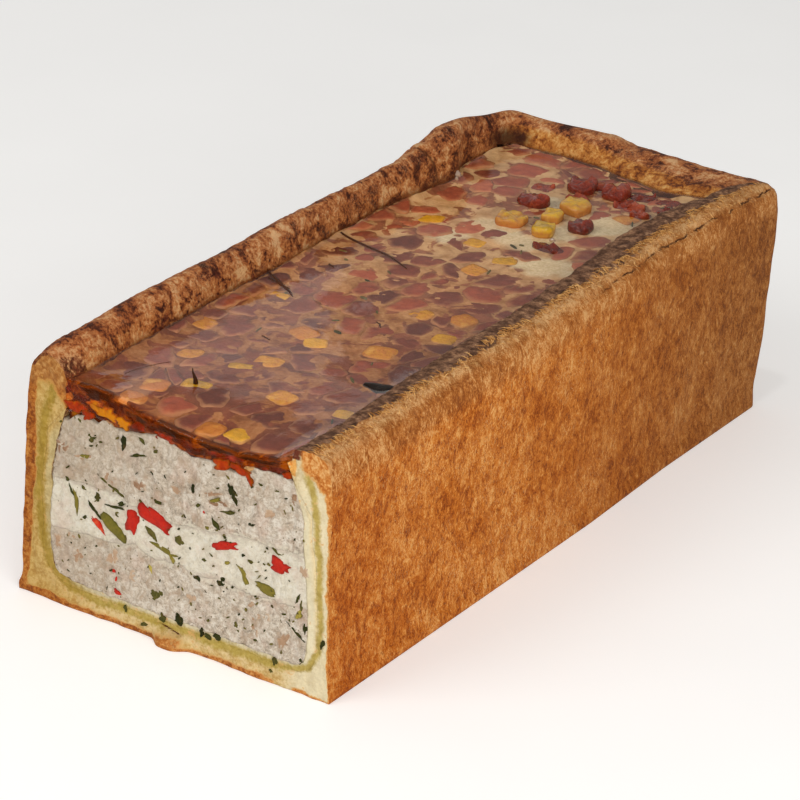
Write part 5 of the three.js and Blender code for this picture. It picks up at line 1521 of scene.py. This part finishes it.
def build_surface_bits():
    dark, bright = Batch(), Batch()
    for i, ends in enumerate(SLIVERS):
        dark.add(sliver(*ends, i), 0.45)
    outline = round_corners(WEDGE, 30)
    level = float(jelly_top(27.0, -60.0))
    dark.add(set_piece(outline, level + 0.3, 1.2, np.array([-0.03, 0.10]), 5, dome=0.15, lumpy=0.1), 0.1)
    c, s = circle(6)
    spike = [SPIKE_FOOT + np.stack([radius * c + lean, radius * s, up + 0 * c], -1)
             for radius, up, lean in SPIKE_RINGS]
    dark.add(close_rings(spike, spike[-1].mean(0)[None, :]), 0.3)
    for x, y, radius, up in DROPS:
        outline = box_outline(x, y, 2 * radius, 2 * radius, 0, 3, 20, 1.0)
        top = float(jelly_top(x, y)) + up
        bright.add(set_piece(outline, top, 1.6, np.zeros(2), 2, dome=0.35 * radius, lumpy=0.0), 0.9)
    dark.piece("jelly_slivers", SLIVER, "meat")
    bright.piece("jelly_drops", DROP, "jelly")


# ---------------------------------------------------------------- fibres of the crust
FIBRE_COUNT = 1500


def build_fibres(points, number):
    """Straw-coloured fibres that stand up along the burnt strip's outer edge and lie on the wall below."""
    rng = np.random.default_rng(7)
    normal = grid_normals(points)
    batch = Batch()
    rows = np.arange(len(number))
    for _ in range(FIBRE_COUNT):
        column = int(rng.integers(1, SIDE_COLUMNS - 2))
        here = points[0, column, 1]
        clump = float(noise(here / 5.0, 3.0, 1.0) + 0.6 * noise(here / 1.7, 5.0, 2.0))
        edge = rng.random() < 0.88
        if edge and clump < rng.uniform(-0.9, 0.4):
            continue
        ring = rng.normal(11.0 + 0.28 * clump, 0.18) if edge else rng.uniform(9.6, 10.9)
        row = int(np.interp(ring, number, rows))
        base = points[row, column]
        up = normal[row, column]
        side = points[row, column + 1] - base
        side /= np.linalg.norm(side)
        inward = points[row + 1, column] - base
        inward /= np.linalg.norm(inward)
        angle = rng.normal(0.0, 0.75)
        way = inward * math.cos(angle) + side * math.sin(angle)
        long = rng.uniform(0.9, 2.6)
        lift = rng.uniform(0.05, 0.7) if edge else rng.uniform(0.02, 0.15)
        across = np.cross(up, way) * rng.uniform(0.09, 0.19)
        start = base + side * rng.uniform(-0.6, 0.6) - up * 0.10
        middle = start + way * long * 0.55 + up * (lift * 0.75 + 0.12)
        tip = start + way * long + up * lift * rng.uniform(0.4, 1.0)
        made = np.array([start - across, start + across, start + up * 0.22, middle - across * 0.8,
                         middle + across * 0.8, middle + up * 0.16, tip])
        faces = [[0, 1, 4, 3], [1, 2, 5, 4], [2, 0, 3, 5], [3, 4, 6], [4, 5, 6], [5, 3, 6], [2, 1, 0]]
        batch.add((made, faces), rng.uniform(0.25, 0.80))
    batch.piece("crust_fibres", FIBRE, "crust")


# ---------------------------------------------------------------- build
inner_line, crust_points, crust_numbers = build_crust()
build_lining(inner_line)
build_layer("farce_lower_fine", farce_floor, mousse_bottom, FARCE, 0.62, 40, "farce_lower")
build_layer("mousse_fine", mousse_bottom, mousse_top, MOUSSE, 0.36, 38, "mousse")
build_layer("farce_upper_fine", mousse_top, farce_top, FARCE, 0.62, 50, "farce_upper")
build_cut_pieces()
build_jelly()
build_bed()
build_set_pieces()
build_surface_bits()
build_fibres(crust_points, crust_numbers)


# ---------------------------------------------------------------- floor, light and camera
def floor_look():
    look = Look("pale_floor")
    look.shader.inputs["Emission Color"].default_value = (1.0, 0.99, 0.97, 1.0)
    look.shader.inputs["Emission Strength"].default_value = 0.30
    grey = look.noise(60.0, 2.0).ramp((0.3, (0.80, 0.80, 0.80)), (0.7, (0.82, 0.82, 0.82)))
    return look.done(grey, 0.6, specular=0.2)


def build_floor():
    mesh = bpy.data.meshes.new("floor")
    reach = 3.0
    corners = [(-reach, -reach, 0), (reach, -reach, 0), (reach, reach, 0), (-reach, reach, 0)]
    mesh.from_pydata(corners, [], [(0, 1, 2, 3)])
    mesh.materials.append(floor_look())
    floor = bpy.data.objects.new("floor", mesh)
    floor.location.z = -0.0001
    bpy.context.scene.collection.objects.link(floor)


def area_light(name, place, target, size, power, colour=(1.0, 1.0, 1.0), mirrored=True):
    """A soft lamp; one that isn't mirrored leaves no white patch on glossy jelly."""
    light = bpy.data.lights.new(name, "AREA")
    light.shape = "RECTANGLE"
    light.size, light.size_y = size
    light.energy = power
    light.color = colour
    lamp = bpy.data.objects.new(name, light)
    lamp.location = place
    lamp.rotation_euler = (Vector(target) - Vector(place)).to_track_quat("-Z", "Y").to_euler()
    lamp.visible_glossy = mirrored
    bpy.context.scene.collection.objects.link(lamp)


def build_light():
    world = bpy.data.worlds.new("soft_room")
    world.use_nodes = True
    background = world.node_tree.nodes["Background"]
    background.inputs["Color"].default_value = (1.0, 0.985, 0.96, 1.0)
    background.inputs["Strength"].default_value = 0.40
    bpy.context.scene.world = world
    area_light("key", (-0.32, -0.62, 0.62), (0.0, -0.06, 0.04), (0.5, 0.5), 2.4, (1.0, 0.98, 0.95))
    area_light("side", (0.66, -0.50, 0.30), (0.04, -0.05, 0.03), (0.5, 0.4), 4.0, (1.0, 0.97, 0.92), False)
    area_light("card", (-0.62, 0.50, 0.36), (0.0, -0.03, 0.06), (0.36, 0.30), 0.16)
    area_light("spark", (0.05, -0.10, 0.90), (0.0, 0.0, 0.05), (0.05, 0.05), 0.55)


def build_camera():
    azimuth, elevation, roll = math.radians(34.5), math.radians(24.7), math.radians(1.07)
    distance = 0.7775
    target = Vector((0.0032135, -0.0154245, 0.032))
    flat = math.cos(elevation)
    back = Vector((math.sin(azimuth) * flat, -math.cos(azimuth) * flat, math.sin(elevation)))
    right = (-back).cross(Vector((0, 0, 1))).normalized()
    up = right.cross(-back)
    turned_right = right * math.cos(roll) + up * math.sin(roll)
    turned_up = up * math.cos(roll) - right * math.sin(roll)
    lens = bpy.data.cameras.new("camera")
    lens.lens = 135.0
    lens.sensor_width = 36.0
    camera = bpy.data.objects.new("camera", lens)
    turn = Matrix((turned_right, turned_up, back)).transposed().to_4x4()
    camera.matrix_world = Matrix.Translation(target + back * distance) @ turn
    bpy.context.scene.collection.objects.link(camera)
    bpy.context.scene.camera = camera


build_floor()
build_light()
build_camera()
bpy.context.scene.view_settings.view_transform = "Standard"
